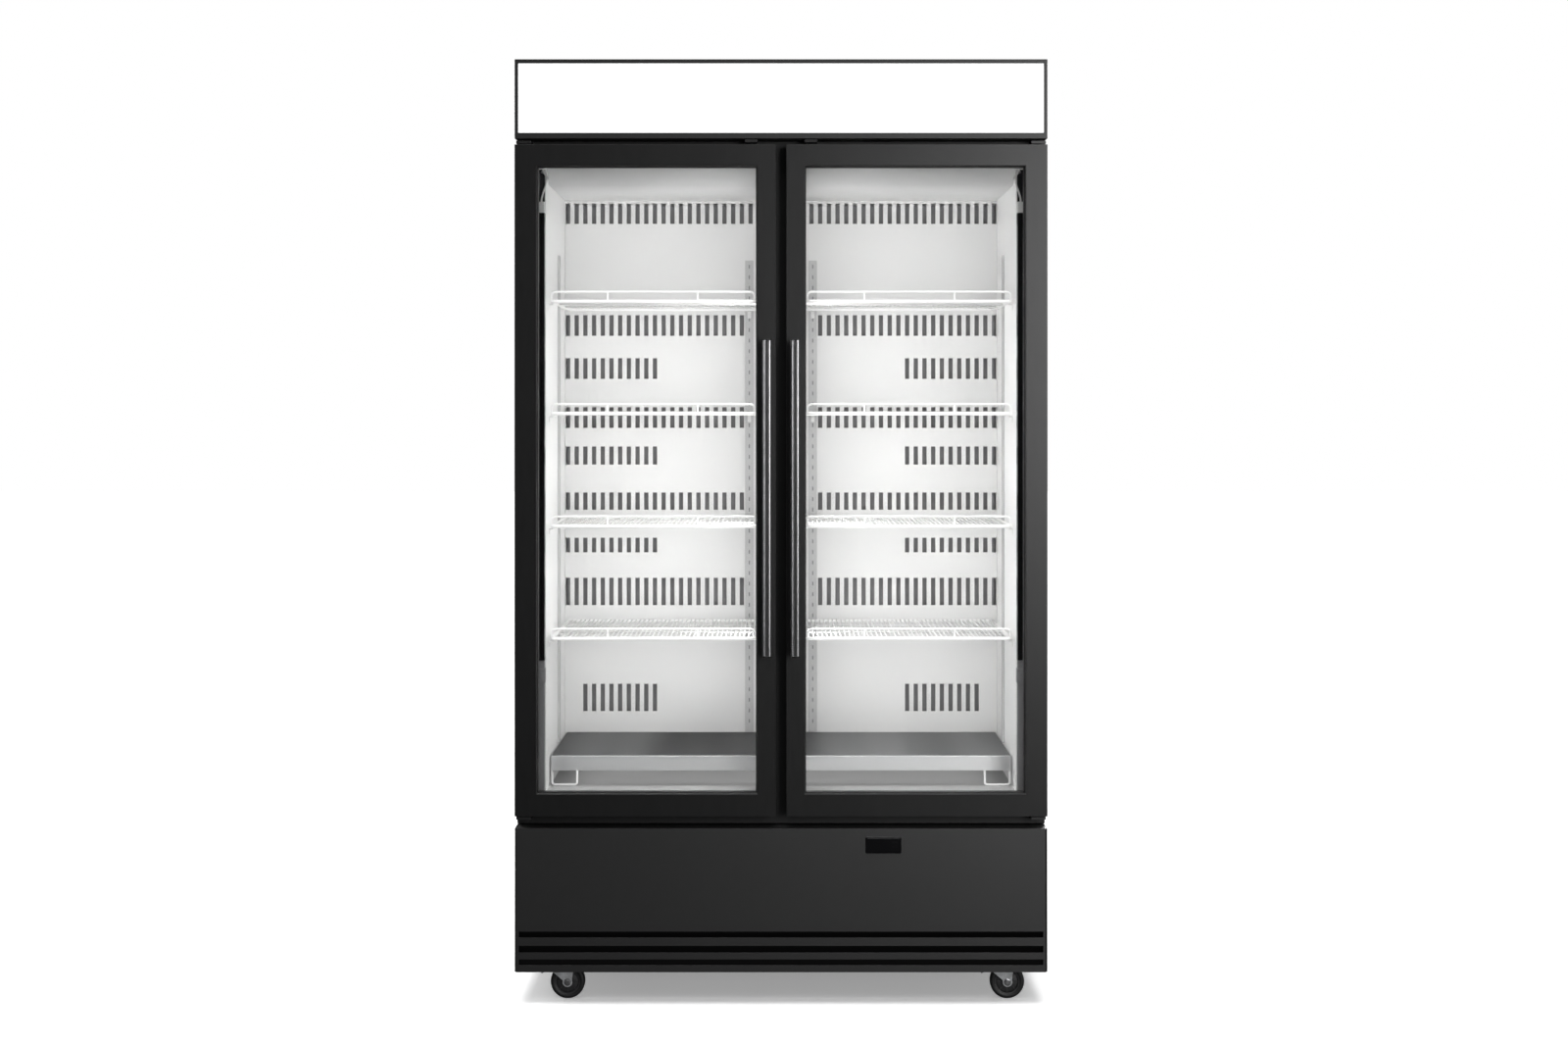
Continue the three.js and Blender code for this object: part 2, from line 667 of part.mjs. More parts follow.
function topHinge() {
  const plateLow = DOOR_TOP + HINGE_CLEARANCE;
  return hinge(plateLow, plateLow + 1 - PIN_LENGTH);
}

function bottomHinge() {
  const plateHigh = DOOR_BOTTOM - HINGE_CLEARANCE;
  return hinge(plateHigh - HINGE_PLATE, plateHigh - 1);
}

for (const [word, side] of Object.entries(SIDES)) {
  add(`door_${word}_frame`, sided(side, doorFrame), blackSteel);
  add(`door_${word}_glass`, sided(side, doorGlass), clearGlass);
  add(`door_${word}_handle`, sided(side, doorHandle), aluminium);
  add(`door_${word}_gasket`, sided(side, doorGasket), blackRubber);
  add(`hinge_top_${word}`, sided(side, topHinge), zinc);
  add(`hinge_bottom_${word}`, sided(side, bottomHinge), zinc);
}

// ---------- castors ----------

// Each castor is drawn about its swivel axis at floor level, with its wheel trailing along +x.
const LEG_OFFSET = 14.5;
const LEG_SHEET = 2.5;
const LEG_FRONT = 26;
const LEG_BACK = -20;
const LEG_BOSS = 11;
const HEAD = { front: 30, back: -28, bottom: 78, top: 81 };
const RACE_RADIUS = 22;
const AXLE_RADIUS = 4;

function forkLeg(y0) {
  const shape = new THREE.Shape();
  shape.moveTo(LEG_BACK, HEAD.top);
  shape.lineTo(LEG_FRONT, HEAD.top);
  shape.lineTo(WHEEL_TRAIL + LEG_BOSS, AXLE_HEIGHT);
  shape.absarc(WHEEL_TRAIL, AXLE_HEIGHT, LEG_BOSS, 0, -Math.PI, true);
  shape.lineTo(LEG_BACK, HEAD.bottom - 6);
  shape.closePath();
  return pushedBack(shape, y0, y0 + LEG_SHEET, 3);
}

const PEDAL_PIVOT = { x: -21, z: 66 };
const PEDAL_PIN = 3;

function pedalEar(y0) {
  const { x, z } = PEDAL_PIVOT;
  return block(x - 5, x + 9, y0, y0 + LEG_SHEET, z - 5, HEAD.bottom + 1);
}

function castorFork(withBrake) {
  const nearLeg = -LEG_OFFSET - LEG_SHEET;
  const head = block(HEAD.back, HEAD.front, nearLeg, -nearLeg, HEAD.bottom, HEAD.top);
  const race = rod('z', RACE_RADIUS, 0, 0, HEAD.top - 1, CASTOR_PLATE_BOTTOM - HEAD.top + 0.5, 16);
  const kingpin = rod('z', KINGPIN_RADIUS, 0, 0, HEAD.top - 1, PAN_TOP - HEAD.top, 12);
  const axle = rod('y', AXLE_RADIUS, WHEEL_TRAIL, nearLeg - 2, AXLE_HEIGHT, 2 * (LEG_OFFSET + LEG_SHEET + 2), 12);
  const legs = [forkLeg(nearLeg), forkLeg(LEG_OFFSET)];
  const { x, z } = PEDAL_PIVOT;
  const ears = withBrake
    ? [pedalEar(nearLeg), pedalEar(LEG_OFFSET), rod('y', PEDAL_PIN, x, nearLeg, z, 2 * (LEG_OFFSET + LEG_SHEET), 10)]
    : [];
  return join(head, race, kingpin, axle, ...legs, ...ears);
}

function castorWheel() {
  const half = WHEEL_WIDTH / 2;
  const bore = AXLE_RADIUS + 0.6;
  const profile = [
    [bore, -half - 1.5],
    [12, -half - 1.5],
    [14, -half + 3],
    [26, -half + 3],
    [28, -half],
    [WHEEL_RADIUS - 3, -half],
    [WHEEL_RADIUS, -half + 4],
    [WHEEL_RADIUS, half - 4],
    [WHEEL_RADIUS - 3, half],
    [28, half],
    [26, half - 3],
    [14, half - 3],
    [12, half + 1.5],
    [bore, half + 1.5],
    [bore, -half - 1.5],
  ].map(([r, h]) => new THREE.Vector2(r, h));
  return solid(new THREE.LatheGeometry(profile, WHEEL_SIDES, Math.PI / WHEEL_SIDES));
}

function brakePedal() {
  const { x, z } = PEDAL_PIVOT;
  const half = LEG_OFFSET - 0.5;
  const sleeve = rod('y', PEDAL_PIN + 3, x, -half, z, 2 * half, 12);
  const tail = pushedBack(outline([
    [x - 2, z + 5],
    [x - 22, z - 8],
    [x - 22, z - 11],
    [x - 2, z - 4],
  ]), -half + 2, half - 2);
  return cut(join(sleeve, tail), rod('y', PEDAL_PIN + 0.5, x, -half - 1, z, 2 * half + 2, 10));
}

for (const [row, depth] of Object.entries(CASTOR_DEPTHS)) {
  for (const [word, side] of Object.entries(SIDES)) {
    const castor = new THREE.Group();
    castor.position.set(side * CASTOR_X, depth, 0);
    cabinet.add(castor);
    const hasBrake = row === 'front';
    add(`castor_fork_${row}_${word}`, castorFork(hasBrake), zinc, castor);
    add(`castor_wheel_${row}_${word}`, castorWheel(), tyreRubber, castor, [WHEEL_TRAIL, 0, AXLE_HEIGHT]);
    if (hasBrake) add(`brake_pedal_${word}`, brakePedal(), greyPlastic, castor);
  }
}

export default merchandiser;
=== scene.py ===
"""Looks of the two-door glass merchandiser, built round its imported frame.

Metres, +Z up, the doors face -Y. Depth is counted back from the front face of the doors.
"""

import math

import bmesh
import bpy
from mathutils import Matrix, Vector


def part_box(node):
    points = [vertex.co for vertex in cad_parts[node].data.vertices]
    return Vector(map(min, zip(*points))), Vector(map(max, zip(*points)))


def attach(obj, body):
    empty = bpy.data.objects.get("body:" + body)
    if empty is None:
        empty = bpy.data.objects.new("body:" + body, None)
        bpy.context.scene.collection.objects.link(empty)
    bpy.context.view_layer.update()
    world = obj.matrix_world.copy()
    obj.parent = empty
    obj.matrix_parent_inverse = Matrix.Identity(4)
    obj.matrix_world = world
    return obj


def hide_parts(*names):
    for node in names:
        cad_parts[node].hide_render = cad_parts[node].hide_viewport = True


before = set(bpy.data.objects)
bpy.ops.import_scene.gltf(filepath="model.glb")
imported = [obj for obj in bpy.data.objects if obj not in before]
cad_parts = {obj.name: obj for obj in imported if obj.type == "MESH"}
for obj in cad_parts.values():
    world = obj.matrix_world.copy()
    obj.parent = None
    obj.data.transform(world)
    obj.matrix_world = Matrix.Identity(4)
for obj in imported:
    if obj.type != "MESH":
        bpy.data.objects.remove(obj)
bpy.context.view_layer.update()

MM = 0.001
SIDES = {"left": -1, "right": 1}
ROWS = ("front", "rear")
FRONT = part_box("door_left_frame")[0].y


def depth(node):
    """y of the node's front."""
    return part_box(node)[0].y


def in_mm(points):
    """Points given in millimetres, turned into metres."""
    return [tuple(value * MM for value in point) for point in points]


def stepped(start, end, count):
    """count values evenly from start to end."""
    return [start + (end - start) * i / (count - 1) for i in range(count)]


# ---------- camera, lights and floor ----------

EYE_HEIGHT = 1.284
EYE_DISTANCE = 5.0
LENS = 53.68
SHIFT = (0.0019, -0.0741)


def make_camera():
    data = bpy.data.cameras.new("camera")
    data.lens = LENS
    data.sensor_width = 36
    data.shift_x, data.shift_y = SHIFT
    camera = bpy.data.objects.new("camera", data)
    camera.location = (0, FRONT - EYE_DISTANCE, EYE_HEIGHT)
    camera.rotation_euler = (math.pi / 2, 0, 0)
    bpy.context.scene.collection.objects.link(camera)
    bpy.context.scene.camera = camera


def area_light(name, place, target, size, watts):
    data = bpy.data.lights.new(name, "AREA")
    data.shape = "RECTANGLE"
    data.size, data.size_y = size
    data.energy = watts
    lamp = bpy.data.objects.new(name, data)
    lamp.location = place
    lamp.rotation_euler = (Vector(target) - Vector(place)).to_track_quat("-Z", "Y").to_euler()
    lamp.visible_camera = False
    lamp.visible_glossy = False
    bpy.context.scene.collection.objects.link(lamp)
    return lamp


def make_studio():
    """A white room: a high soft sun, fill lamps, lamps seen only in reflections, and lamps inside."""
    make_world()
    sun_data = bpy.data.lights.new("sun", "SUN")
    sun_data.energy = 3.2
    sun_data.angle = math.radians(35)
    sun = bpy.data.objects.new("sun", sun_data)
    sun.rotation_euler = (math.radians(23), math.radians(-2), 0)
    bpy.context.scene.collection.objects.link(sun)
    reflected_lamps()
    area_light("front_fill", (0, FRONT - 5.6, 1.0), (0, 0, 1.0), (3, 2), 70)
    area_light("back_fill", (-3.5, 4.5, 2.6), (0, 0, 1), (3, 3), 120)
    inside_lamps()
    make_floor()
    bpy.context.scene.view_settings.view_transform = "Standard"


def make_world():
    """A dim sky that looks white to the camera and nearly black in reflections."""
    world = bpy.data.worlds.new("studio")
    bpy.context.scene.world = world
    world.use_nodes = True
    tree = world.node_tree
    shown = tree.nodes["Background"]
    shown.inputs["Color"].default_value = (0.98, 0.99, 1, 1)
    shown.inputs["Strength"].default_value = 0.35
    rays = shader(tree, "LightPath")
    for ray, strength in (("Is Glossy Ray", 0.05), ("Is Camera Ray", 1)):
        white = shader(tree, "Background", {"Color": (1, 1, 1, 1), "Strength": strength})
        mix = {"Fac": rays.outputs[ray], 1: shown.outputs[0], 2: white.outputs[0]}
        shown = shader(tree, "MixShader", mix)
    tree.links.new(shown.outputs[0], tree.nodes["World Output"].inputs["Surface"])


def reflected_lamps():
    """Softboxes in front, at the sides and behind, which glossy paint mirrors and nothing else sees."""
    lamps = [
        area_light("softbox", (2.5, FRONT - 5.5, 1.8), (0.4, FRONT, 1.2), (2.2, 2.4), 230),
        area_light("edge_light", (-3.6, FRONT - 3.4, 2.3), (0, FRONT, 1.3), (0.5, 1.8), 12),
    ]
    for word, side in SIDES.items():
        place = (side * 5, 0.6, 2.6)
        lamps.append(area_light(f"side_light_{word}", place, (0, 0.2, 1.2), (1.6, 2.2), 150))
    for word, x, y in (("left", -3.6, 4.6), ("middle", 1.0, 5.4), ("right", 3.6, 4.6)):
        lamps.append(area_light(f"back_light_{word}", (x, y, 2.7), (0, 0.3, 1.2), (2.4, 1.6), 170))
    for lamp in lamps:
        lamp.visible_glossy = True
        lamp.visible_diffuse = False


def inside_lamps():
    """A panel in each doorway, a strip each side of the mullion, and two lamps at the deck."""
    front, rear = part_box("liner")[0].y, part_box("liner")[1].y
    for word, side in SIDES.items():
        x, z = side * 0.28, 1.16
        panel = area_light(f"doorway_{word}", (x, front - 0.01, z), (x, rear, z), (0.44, 1.2), 1.1)
        panel.data.spread = math.radians(110)
        place, target = (side * 0.03, front + 0.06, 1.15), (side * 0.5, front + 0.04, 1.15)
        area_light(f"mullion_strip_{word}", place, target, (0.04, 0.95), 4.4)
    deck_lo, deck_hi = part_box("base_deck")
    under = Vector((0, deck_lo.y + 0.17, deck_lo.z - 4 * MM))
    area_light("under_deck", under, under - Vector((0, 0, 1)), (0.95, 0.3), 0.75)
    ahead = Vector((0, front + 2 * MM, (deck_lo.z + deck_hi.z) / 2))
    strip = area_light("deck_strip", ahead, ahead + Vector((0, 1, 0)), (0.95, 0.02), 0.2)
    strip.data.spread = math.radians(80)


def make_floor():
    """A pale glowing floor that takes shadows and lights nothing."""
    bpy.ops.mesh.primitive_plane_add(size=60)
    floor = bpy.context.object
    floor.name = "floor"
    floor.data.materials.append(glow_finish("pale_floor", (0.93, 0.93, 0.93), 0.3, roughness=0.75))
    floor.visible_glossy = False
    floor.visible_diffuse = False


# ---------- materials ----------

FINISHES = {}
ALONG_X = (0.02, 1, 1)
ALONG_Z = (1, 1, 0.02)


def shader(tree, kind, inputs=None, **settings):
    """A new shader node, whose inputs are constants or other nodes' outputs."""
    made = tree.nodes.new(f"ShaderNode{kind}")
    for name, value in settings.items():
        setattr(made, name, value)
    for socket, value in (inputs or {}).items():
        if isinstance(value, bpy.types.NodeSocket):
            tree.links.new(value, made.inputs[socket])
        else:
            made.inputs[socket].default_value = value
    return made


def object_place(tree):
    return shader(tree, "TexCoord").outputs["Object"]


def object_noise(tree, scale, detail, stretch=(1, 1, 1)):
    mapping = shader(tree, "Mapping", {"Scale": stretch, "Vector": object_place(tree)})
    noise = shader(tree, "TexNoise", {"Scale": scale, "Detail": detail, "Vector": mapping.outputs["Vector"]})
    return noise.outputs["Fac"]


def ramp(tree, value, start, end, low=0, high=1):
    """low where value is start, high where it is end, and in proportion between."""
    span = {"Value": value, "From Min": start, "From Max": end, "To Min": low, "To Max": high}
    return shader(tree, "MapRange", span).outputs["Result"]


def noise_ramp(tree, noise, low=0, high=1):
    """low to high over the middle of the noise's range, where most of it lies."""
    return ramp(tree, noise, 0.3, 0.7, low, high)


def blend(tree, share, a, b):
    """The colour a where share is 0, and b where it is 1."""
    return shader(tree, "Mix", {"Factor": share, "A": a, "B": b}, data_type="RGBA").outputs["Result"]


def finish(name, color, roughness, metallic=0.0, spread=0.04, scale=8, stretch=(1, 1, 1),
           rough_spread=0.04, bump=0.0, grain=700, **sockets):
    """A procedural finish: a cloudy colour, and a fine grain in roughness and bump."""
    material = bpy.data.materials.new(name)
    FINISHES[name] = material
    material.use_nodes = True
    tree = material.node_tree
    surface = tree.nodes["Principled BSDF"]
    surface.inputs["Metallic"].default_value = metallic
    for socket, value in sockets.items():
        surface.inputs[socket.replace("_", " ").title().replace("Ior", "IOR")].default_value = value

    dark = (*[c * (1 - spread) for c in color], 1)
    light = (*[min(1, c * (1 + spread)) for c in color], 1)
    clouds = noise_ramp(tree, object_noise(tree, scale, 4))
    tree.links.new(blend(tree, clouds, dark, light), surface.inputs["Base Color"])

    fine = object_noise(tree, grain, 2, stretch)
    low, high = max(0.02, roughness - rough_spread), min(1, roughness + rough_spread)
    tree.links.new(noise_ramp(tree, fine, low, high), surface.inputs["Roughness"])
    if bump:
        relief = shader(tree, "Bump", {"Strength": bump, "Distance": 0.0004, "Height": fine})
        tree.links.new(relief.outputs["Normal"], surface.inputs["Normal"])
    return material


def glass_finish():
    """A clear pane: what is behind it shows unbent, and it mirrors a little more at a slant."""
    material = bpy.data.materials.new("clear_glass")
    FINISHES["glass"] = material
    material.use_nodes = True
    tree = material.node_tree
    tree.nodes.remove(tree.nodes["Principled BSDF"])
    clear = shader(tree, "BsdfTransparent", {"Color": (0.985, 0.985, 0.984, 1)})
    mirror = shader(tree, "BsdfGlossy", {"Roughness": 0.03})
    slant = shader(tree, "LayerWeight", {"Blend": 0.5})
    fifth = shader(tree, "Math", {0: slant.outputs["Facing"], 1: 5}, operation="POWER")
    share = ramp(tree, fifth.outputs[0], 0, 1, 0.012, 0.6)
    mix = shader(tree, "MixShader", {"Fac": share, 1: clear.outputs[0], 2: mirror.outputs[0]})
    tree.links.new(mix.outputs[0], tree.nodes["Material Output"].inputs["Surface"])


def recolour_in_depth(material, near, far, start, end):
    """Gives the material a colour that turns from near, at y = start, to far, at y = end."""
    tree = material.node_tree
    place = shader(tree, "SeparateXYZ", {"Vector": object_place(tree)})
    color = blend(tree, ramp(tree, place.outputs["Y"], start, end), near, far)
    tree.links.new(color, tree.nodes["Principled BSDF"].inputs["Base Color"])


def deck_finish():
    """Brushed stainless, with painted reflection bands, light and dark, on its top, and a front face painted
    paler to stand for the light on it.
    """
    material = finish("deck_steel", (0.5, 0.505, 0.51), 0.32, 0.85, stretch=ALONG_X, bump=0.03, grain=4500,
                      specular_tint=(0.36, 0.36, 0.36, 1))
    tree = material.node_tree
    # Painted reflection: broad light and dark bands across the top stand for the room mirrored in the brushed
    # steel.
    reflection_streaks = noise_ramp(tree, object_noise(tree, 5, 1, (1, 0.03, 1)))
    painted_reflection_bands = blend(tree, reflection_streaks, (0.02, 0.02, 0.021, 1), (0.42, 0.424, 0.428, 1))
    edge = depth("base_deck")
    # Painted light: the front face gets a paler colour than the top, as the face catches more light.
    recolour_in_depth(material, (0.75, 0.755, 0.76, 1), painted_reflection_bands, edge + 2 * MM, edge + 4 * MM)


def ceiling_finish():
    """Enamel with painted shade, darker over the doorway and whiter to the rear, as the ceiling looks when
    lit.
    """
    material = finish("ceiling_enamel_painted_shade", (0.7, 0.7, 0.7), 0.5, bump=0.08, grain=260)
    # Painted shade: the colour turns from dark at the doorway to light at the rear.
    dark, light = (0.42, 0.42, 0.42, 1), (0.84, 0.84, 0.84, 1)
    recolour_in_depth(material, dark, light, depth("liner"), depth("duct_panel"))


def glow_finish(name, color, strength, roughness=0.4):
    material = finish(name, color, roughness, spread=0.01)
    surface = material.node_tree.nodes["Principled BSDF"]
    surface.inputs["Emission Color"].default_value = (*color, 1)
    surface.inputs["Emission Strength"].default_value = strength
    return material


PAINTS = {
    "black_paint": ((0.006, 0.006, 0.0063), 0.42, dict(bump=0.12, grain=1100, specular_ior_level=0.45)),
    "door_black": ((0.003, 0.003, 0.0032), 0.35, dict(bump=0.05, grain=900, stretch=ALONG_Z,
                                                      specular_ior_level=0.4)),
    "charcoal_paint": ((0.005, 0.005, 0.0052), 0.38, dict(bump=0.2, grain=1300, specular_ior_level=0.75)),
    "breaker": ((0.003, 0.003, 0.0032), 0.5, dict(bump=0.05, specular_ior_level=0.3)),
    "white_enamel": ((0.9, 0.9, 0.895), 0.5, dict(spread=0.012, bump=0.08, grain=260)),
    "duct_white": ((0.73, 0.73, 0.725), 0.5, dict(spread=0.012, bump=0.08, grain=260)),
    "post_grey": ((0.5, 0.5, 0.5), 0.5, dict(bump=0.08, grain=260)),
    # Painted shade: grey for the white liner floor in the shade under the deck.
    "tray_painted_shade": ((0.4, 0.4, 0.4), 0.45, dict(bump=0.08, grain=260)),
    "white_wire": ((0.95, 0.95, 0.945), 0.3, dict(spread=0.015, bump=0.06, grain=400)),
    # Painted shade: the grid wires are the same white wire as the rims, made grey for their shade.
    "grid_wire_painted_shade": ((0.6, 0.6, 0.595), 0.35, dict(spread=0.015, bump=0.06, grain=400)),
    # Painted shade: a dark grey for sheets put behind slots, where there is only shade.
    "painted_shade_grey": ((0.24, 0.24, 0.245), 0.8, dict(bump=0.3, grain=500)),
}
METALS = {
    "aluminium": ((0.52, 0.53, 0.54), 0.32, dict(spread=0.05, stretch=ALONG_Z, bump=0.1, grain=1500)),
    "handle_metal": ((0.26, 0.26, 0.265), 0.3, dict(spread=0.04, stretch=ALONG_Z, bump=0.04, grain=3000)),
    "copper": ((0.72, 0.36, 0.22), 0.35, dict(spread=0.15, scale=30)),
    "steel_screw": ((0.4, 0.4, 0.41), 0.3, dict(spread=0.1, scale=200)),
}
PLASTICS = {
    "rubber": ((0.012, 0.012, 0.012), 0.7, dict(bump=0.2, grain=1500)),
    "tyre": ((0.008, 0.008, 0.0085), 0.5, dict(spread=0.15, scale=60, bump=0.25, grain=900,
                                               specular_ior_level=0.35)),
    "rim": ((0.02, 0.02, 0.021), 0.42, dict(spread=0.1, scale=80, bump=0.1)),
    "grey_plastic": ((0.2, 0.2, 0.205), 0.5, dict(bump=0.15, grain=1200)),
    "pale_plastic": ((0.75, 0.75, 0.74), 0.45, dict(bump=0.1, grain=1200)),
    "black_gloss": ((0.003, 0.003, 0.0035), 0.15, dict(rough_spread=0.02, specular_ior_level=0.3)),
}


def make_finishes():
    for name, (color, roughness, details) in (PAINTS | PLASTICS).items():
        finish(name, color, roughness, **details)
    for name, (color, roughness, details) in METALS.items():
        finish(name, color, roughness, 1, **details)
    finish("zinc", (0.5, 0.51, 0.52), 0.36, 0.5, spread=0.22, scale=90, bump=0.1)
    deck_finish()
    ceiling_finish()
    glow_finish("header_white", (0.97, 0.975, 0.98), 0.75)
    glow_finish("lamp_lens", (0.98, 0.99, 1), 2.5)
    glass_finish()


# ---------- mesh building ----------


AXES = {"x": Vector((1, 0, 0)), "y": Vector((0, 1, 0)), "z": Vector((0, 0, 1))}


def fan_out(across, other, sides):
    """Unit vectors at equal angles all round, the first along across and turning towards other."""
    turn = [2 * math.pi * k / sides for k in range(sides)]
    return [math.cos(a) * across + math.sin(a) * other for a in turn]


def spokes(axis, sides):
    """Unit vectors all round the axis, at equal angles."""
    across = AXES[axis].orthogonal().normalized()
    return fan_out(across, AXES[axis].cross(across), sides)


class Shape:
    """A mesh being built up from simple closed bodies, in metres."""

    def __init__(self):
        self.bm = bmesh.new()

    def ring(self, points):
        return [self.bm.verts.new(p) for p in points]

    def bridge(self, rings, closed=False):
        """Quads between rings of equal length, and caps on the two ends."""
        pairs = list(zip(rings, rings[1:])) + ([(rings[-1], rings[0])] if closed else [])
        for a, b in pairs:
            for i in range(len(a)):
                j = (i + 1) % len(a)
                self.bm.faces.new((a[i], a[j], b[j], b[i]))
        if not closed:
            self.bm.faces.new(list(reversed(rings[0])))
            self.bm.faces.new(rings[-1])

    def box(self, a, b, a_by=(0, 0, 0), b_by=(0, 0, 0)):
        """The box between corners a and b, each first moved by some millimetres."""
        ends = [sorted((p + i * MM, q + j * MM)) for p, q, i, j in zip(a, b, a_by, b_by)]
        (x0, x1), (y0, y1), (z0, z1) = ends
        base = [(x0, y0), (x1, y0), (x1, y1), (x0, y1)]
        self.bridge([self.ring([(x, y, z) for x, y in base]) for z in (z0, z1)])
        return self

    def prism(self, outline, axis, start, end):
        """outline is in the two other axes, in X, Y, Z order."""
        def point(u, v, w):
            return {"x": (w, u, v), "y": (u, w, v), "z": (u, v, w)}[axis]

        self.bridge([self.ring([point(u, v, w) for u, v in outline]) for w in (start, end)])
        return self

    def tube(self, points, radius, sides=10, closed=False):
        points = [Vector(p) for p in points]
        count = len(points)
        rings, normal = [], None
        for i, point in enumerate(points):
            if closed:
                along = points[(i + 1) % count] - points[i - 1]
            else:
                along = points[min(i + 1, count - 1)] - points[max(i - 1, 0)]
            along.normalize()
            if normal is None:
                normal = along.orthogonal().normalized()
            normal = (normal - along * normal.dot(along)).normalized()
            around = fan_out(normal, along.cross(normal), sides)
            rings.append(self.ring([point + radius * out for out in around]))
        self.bridge(rings, closed)
        return self

    def lathe(self, centre, axis, profile, sides):
        """A ring whose section is profile, a closed loop of (radius, distance along axis)."""
        centre, along = Vector(centre), AXES[axis]
        self.bridge([
            self.ring([centre + out * r + along * h for r, h in profile]) for out in spokes(axis, sides)
        ], closed=True)
        return self

    def disc(self, centre, axis, profile, sides):
        """A solid of revolution from rings of (radius, distance along axis), with flat ends."""
        centre, along = Vector(centre), AXES[axis]
        around = spokes(axis, sides)
        self.bridge([self.ring([centre + along * h + r * out for out in around]) for r, h in profile])
        return self

    def window_frame(self, outer, inner, profile):
        """A mitred frame. outer and inner are (x0, x1, z0, z1); profile is (share from outer to inner, y)."""
        def corner(i, share, y):
            x = (0, 1, 1, 0)[i]
            z = (2, 2, 3, 3)[i]
            return (outer[x] + share * (inner[x] - outer[x]), y, outer[z] + share * (inner[z] - outer[z]))

        self.bridge([self.ring([corner(i, s, y) for s, y in profile]) for i in range(4)], closed=True)
        return self

    def pierced(self, us, vs, is_hole, place, through):
        """A sheet over the grid us by vs, without the cells that are holes.

        place turns (u, v) into a point, and the vector through is the sheet's thickness.
        """
        kept = {
            (i, j)
            for i in range(len(us) - 1)
            for j in range(len(vs) - 1)
            if not is_hole((us[i] + us[i + 1]) / 2, (vs[j] + vs[j + 1]) / 2)
        }
        corners = {}

        def vert(i, j, layer):
            if (i, j, layer) not in corners:
                point = Vector(place(us[i], vs[j])) + layer * Vector(through)
                corners[i, j, layer] = self.bm.verts.new(point)
            return corners[i, j, layer]

        for i, j in sorted(kept):
            around = [(i, j), (i + 1, j), (i + 1, j + 1), (i, j + 1)]
            front, back = [[vert(*corner, layer) for corner in around] for layer in (0, 1)]
            self.bm.faces.new(front)
            self.bm.faces.new(list(reversed(back)))
            for k, step in enumerate([(0, -1), (1, 0), (0, 1), (-1, 0)]):
                if (i + step[0], j + step[1]) not in kept:
                    n = (k + 1) % 4
                    self.bm.faces.new((front[n], front[k], back[k], back[n]))
        return self

    def move(self, matrix):
        self.bm.transform(matrix)
        return self

    def take(self, other):
        """Moves the other shape's bodies into this one."""
        mesh = bpy.data.meshes.new("part")
        other.bm.to_mesh(mesh)
        other.bm.free()
        self.bm.from_mesh(mesh)
        bpy.data.meshes.remove(mesh)

    def piece(self, name, material, slot, body="cabinet", replaces=(), bevel=0.0, smooth=35):
        bmesh.ops.recalc_face_normals(self.bm, faces=self.bm.faces)
        mesh = bpy.data.meshes.new(name)
        self.bm.to_mesh(mesh)
        self.bm.free()
        mesh.materials.append(FINISHES[material])
        mesh.shade_smooth()
        mesh.set_sharp_from_angle(angle=math.radians(smooth))
        piece = bpy.data.objects.new(name, mesh)
        bpy.context.scene.collection.objects.link(piece)
        if bevel:
            round_edges(piece, bevel)
        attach(piece, body)
        if replaces:
            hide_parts(*replaces)
        return piece


def round_edges(piece, width, segments=2):
    modifier = piece.modifiers.new("round_edges", "BEVEL")
    modifier.width = width
    modifier.segments = segments
    modifier.limit_method = "ANGLE"
    modifier.angle_limit = math.radians(40)
    modifier.harden_normals = True


def dress(node, material, bevel=0.0):
    """Gives a CAD node that stays its finish, and rounds its edges."""
    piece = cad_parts[node]
    mesh = piece.data
    mesh.materials.clear()
    mesh.materials.append(FINISHES[material])
    mesh.polygons.foreach_set("material_index", [0] * len(mesh.polygons))
    weld = piece.modifiers.new("weld", "WELD")
    weld.merge_threshold = 1e-5
    if bevel:
        round_edges(piece, bevel)


def mirrored(side, lo, hi):
    """The span from lo to hi in x on the right, or its mirror image on the left."""
    return (lo, hi) if side > 0 else (-hi, -lo)


def arc(centre, radius, start, end, steps):
    """Points of an arc in a plane, as (u, v), from start to end in degrees."""
    angles = [math.radians(start + (end - start) * i / steps) for i in range(steps + 1)]
    return [(centre[0] + radius * math.cos(a), centre[1] + radius * math.sin(a)) for a in angles]


# A screw head's section: shares of its radius and of its height.
SCREW_SECTION = [(1, 0), (1, 0.4), (0.7, 0.85), (0.35, 1), (0.3, 0.55), (0.1, 0.5)]


def screws(name, places, axis, radius=3.5 * MM, height=1.8 * MM):
    """Pan-head screws in the cabinet, each a low dome with a round recess, facing along axis."""
    outward = -height if axis[0] == "-" else height
    shape = Shape()
    for place in places:
        shape.disc(place, axis[1], [(r * radius, h * outward) for r, h in SCREW_SECTION], 16)
    return shape.piece(name, "steel_screw", "zinc_steel")


# ---------- cabinet shell ----------

# Each node of the shell that stays: its finish, and its edge radius in millimetres.
SHELL = {
    "side_panel_left": ("black_paint", 1.5),
    "side_panel_right": ("black_paint", 1.5),
    "rear_panel": ("black_paint", 1),
    "roof_panel": ("black_paint", 0.6),
    "floor_panel": ("white_enamel", 0.6),
    "liner": ("white_enamel", 0),
    "front_frame": ("breaker", 1.2),
    "header_case": ("black_paint", 1),
    "header_panel": ("header_white", 1),
    "header_lamp": ("lamp_lens", 1),
    "base_frame": ("black_paint", 1),
}
EDGE_SCREW = 20 * MM
BUMPER_X = 64 * MM


